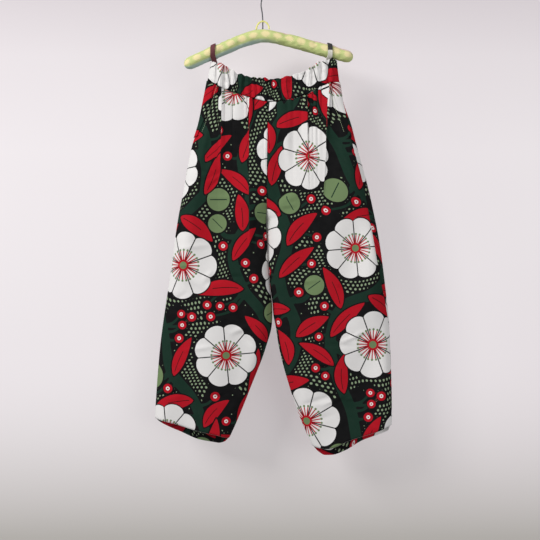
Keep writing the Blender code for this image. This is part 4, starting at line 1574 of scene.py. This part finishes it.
def stuffed(piece, held, cap):
    """Blows the cover up as its wadding does, and leaves the result in the piece's mesh."""
    piece.modifiers.new("even", "REMESH").voxel_size = PAD_CELL
    keep_result(piece)
    before = corners_of(piece.data)
    group = piece.vertex_groups.new(name="held")
    group.add(held(before).tolist(), 1.0, "REPLACE")
    cloth = piece.modifiers.new("cover", "CLOTH").settings
    cloth.vertex_group_mass = group.name
    cloth.use_pressure = True
    cloth.uniform_pressure_force = PAD_PRESSURE
    cloth.shrink_min = -PAD_GROWTH
    cloth.effector_weights.gravity = 0
    for frame_number in range(1, PAD_FRAMES + 1):
        bpy.context.scene.frame_set(frame_number)
    move = corners_of(worked_out(piece)) - before
    length = np.linalg.norm(move, axis=1, keepdims=True)
    after = before + move * np.minimum(1, cap / np.maximum(length, 1e-9))
    piece.modifiers.clear()
    piece.vertex_groups.clear()
    piece.data.vertices.foreach_set("co", after.ravel().astype(np.float32))
    piece.modifiers.new("finer", "SUBSURF").levels = 1
    keep_result(piece)
    print("the cover swells by", round(float(length.max()) * 1000, 1), "mm, kept under", cap * 1000)

# %% [markdown]
# ## Print of the cover
#
# The cover's cotton is lime with a row of cream blotches, blue underneath on one half and pink
# along the top on the rest. The wadding blurs it all, so no motif has to be drawn. Noise and soft
# ramps, in lengths along the bar and in height round it, are enough.

# %% Print of the cover
BLOTCH_STEP = 0.0285  # from one cream blotch to the next
BLUE_REACH = 0.21  # the blue stripe ends here, along the bar
cover = Shade("padded_cover_print", roughness=0.75)
lay = cover.vector("flat")
u, level, _ = cover.parts(lay)
soft, ragged, shove = cover.noise(lay, 34.0), cover.noise(lay, 110.0), cover.noise(lay, 75.0)
lime = cover.mix(paint("bcc67a"), paint("cfd592"), soft)
colour = cover.mix(lime, paint("a5b96c"), (ragged * 3 - 1.2).higher(0).lower(1) * 0.8)
blotch_x = (u + shove * 0.016) / BLOTCH_STEP % 1 - 0.5
blotch_y = level - 0.35 + soft * 0.9 - shove * 0.5
blotch = (blotch_x * blotch_x * 4.6 + blotch_y * blotch_y * 2.4).root() + ragged * 0.9
colour = cover.mix(colour, paint("e6d79f"), blotch.below(1.20, 0.10))
blue = (level + 0.66).below(0.0, 0.14) * u.below(BLUE_REACH, 0.04)
colour = cover.mix(colour, paint("a3bcbb"), blue * 0.8)
pink_edge = 0.93 - ((u - 0.30).higher(0) * 4.0).lower(0.26)
pink = (1 - level.below(pink_edge, 0.06)) * (1 - u.below(0.16, 0.03))
colour = cover.mix(colour, paint("dcb9b5"), pink * 0.85)
cover.feed("Base Color", colour)
cover.bump(soft, 0.25, 0.0010)
print("nodes in the cover's print", len(cover.tree.nodes))

# %% Padded cover
pad = ring_tube("hanger_cover", bar_line, radii, cover, 64, slack_cover)
stuffed(pad, held_cover, PAD_SWELL)
tell(pad.data, "flat", round_line(corners_of(pad.data), bar_line))
pad.data.polygons.foreach_set("use_smooth", [True] * len(pad.data.polygons))
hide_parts("hanger_pad")
print("padded cover", len(pad.data.polygons), "faces")

# %% [markdown]
# ## Hook and ribbon
#
# A dark wire shank comes out of the middle of the bar and turns over into the hook, and a small
# loop of ribbon hides the place where it comes out. Bevelled curves would do for both. The bar's
# own tube is used again instead, because it tells every point where it is along and round the
# line, and the ribbon's weave and its painted highlight, on one side of it, are drawn in that.

# %% Hook
WIRE_RADIUS = 0.0015
HOOK_RADIUS = 0.0215
SHANK = ((0.0000, -0.1250), (0.0000, -0.1080), (-0.0012, -0.0880), (-0.0040, -0.0700),
         (-0.0030, -0.0580), (0.0010, -0.0480), (0.0075, -0.0405))
turns = np.radians(np.linspace(-48, 212, 90))
centre = WIRE_RADIUS - HOOK_RADIUS
bend = np.stack([HOOK_RADIUS * np.cos(turns), centre + HOOK_RADIUS * np.sin(turns)], axis=-1)
line = np.concatenate([through(SHANK)[:-1], bend])
steel = Shade("dark_steel", roughness=0.38, metallic=0.9)
rub = steel.noise(steel.place(), 120.0)
steel.feed("Base Color", steel.mix(paint("3a3a3d"), paint("5a5a5e"), rub))
steel.feed("Roughness", rub * 0.2 + 0.28)
hook = ring_tube("bent_wire", in_plane(*line.T), np.full(len(line), WIRE_RADIUS), steel, 14)
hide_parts("hanger_hook")
print("hook's wire", round(float(length_along(line)[-1]), 3), "m long")

# %% Ribbon
RIBBON_RADIUS = 0.0022
RIBBON_SPAN, RIBBON_RISE, RIBBON_FORWARD = 0.0150, 0.0170, 0.0045
turns = np.linspace(0, math.pi, 60)
x = RIBBON_SPAN * np.cos(turns)
foot = arm_height(x) + math.sqrt(PAD_RADIUS**2 - RIBBON_FORWARD**2) + SEAM_GAP
line = in_plane(x, foot + RIBBON_RISE * np.sin(turns), -RIBBON_FORWARD)
satin = Shade("yellow_ribbon", roughness=0.45)
u, fold, _ = satin.read("flat")
# Painted highlight: the ribbon is a lighter yellow on one side of its tube, which stands for the shine of
# its satin. fold is only the sine of the angle round the tube.
satin.feed("Base Color", satin.mix(paint("d9d257"), paint("efe9a0"), fold * 0.5 + 0.5))
satin.bump((u * 5200).sine(), 0.2, 0.0002)
ribbon = ring_tube("ribbon_bow", line, RIBBON_RADIUS * (0.9 + 0.12 * np.sin(turns * 9)), satin, 16)
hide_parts("hanger_ribbon")
print("ribbon", round(float(length_along(line)[-1]), 3), "m long")

# %% [markdown]
# ## Stitches
#
# A row of pale green stitches holds down each pocket mouth, about fifteen millimetres in from its
# edge. Dashes in the print would do from afar, but they would not stand out of the cloth and catch
# the light. So each stitch is a tiny bead of thread that lies on the cloth and follows its folds.

# %% Rows of stitches
STITCH_LONG, STITCH_STEP, THREAD = 0.0030, 0.0042, 0.00042
STITCH_IN = 0.0150
BEAD_SIDES = 6
BEAD = ((-0.5, 0.25), (-0.36, 0.9), (0.0, 1.0), (0.36, 0.9), (0.5, 0.25))  # along, how thick


def stitch_row(name, centres, ways, outs, shade):
    """One mesh of short beads, each along its own way and just clear of the cloth."""
    ring = np.linspace(0, 2 * np.pi, BEAD_SIDES, endpoint=False)
    points, faces = [], []
    for centre, way, out in zip(centres, ways, outs):
        way, out = way / np.linalg.norm(way), out / np.linalg.norm(out)
        beside = np.cross(way, out)
        first = len(points)
        for along, thick in BEAD:
            for turn in ring:
                spread = THREAD * thick * (math.cos(turn) * beside + math.sin(turn) * out)
                points.append(centre + along * STITCH_LONG * way + spread + 0.5 * THREAD * out)
        last = len(points) - BEAD_SIDES
        for a in range(first, last):
            b = a + 1 if (a + 1 - first) % BEAD_SIDES else a + 1 - BEAD_SIDES
            faces.append((a, b, b + BEAD_SIDES, a + BEAD_SIDES))
        faces += [tuple(range(first, first + BEAD_SIDES))[::-1], tuple(range(last, len(points)))]
    mesh = bpy.data.meshes.new(name)
    mesh.from_pydata([tuple(p) for p in points], [], faces)
    mesh.update()
    mesh.polygons.foreach_set("use_smooth", [True] * len(mesh.polygons))
    made = in_scene(name, mesh, shade)
    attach(made, "root")
    return made


thread = Shade("pale_green_thread", roughness=0.7)
fuzz = thread.noise(thread.place(), 700.0)
thread.feed("Base Color", thread.mix(paint("8fa37a"), paint("b3bd9a"), fuzz))
for side, word in SIDE_WORDS.items():
    top = float(WAIST_SEAM(OUTER[side](-0.26))) - 0.004
    heights = np.arange(POCKET_FOOT + 0.002, top, STITCH_STEP)
    turn = turn_at(side, pocket_edge(side, heights) - side * STITCH_IN, heights)
    line = leg_point(side, turn, heights, folds(side))
    below = leg_point(side, turn, heights - 0.0005, folds(side))
    beside = leg_point(side, turn - 0.004, heights, folds(side))
    outs = np.cross(beside - line, below - line)
    outs *= -np.sign(outs[:, 1:2])
    row = stitch_row(f"pocket_stitches_{word}", line, np.gradient(line, axis=0), outs, thread)
    print(row.name, len(heights), "stitches")

# %% [markdown]
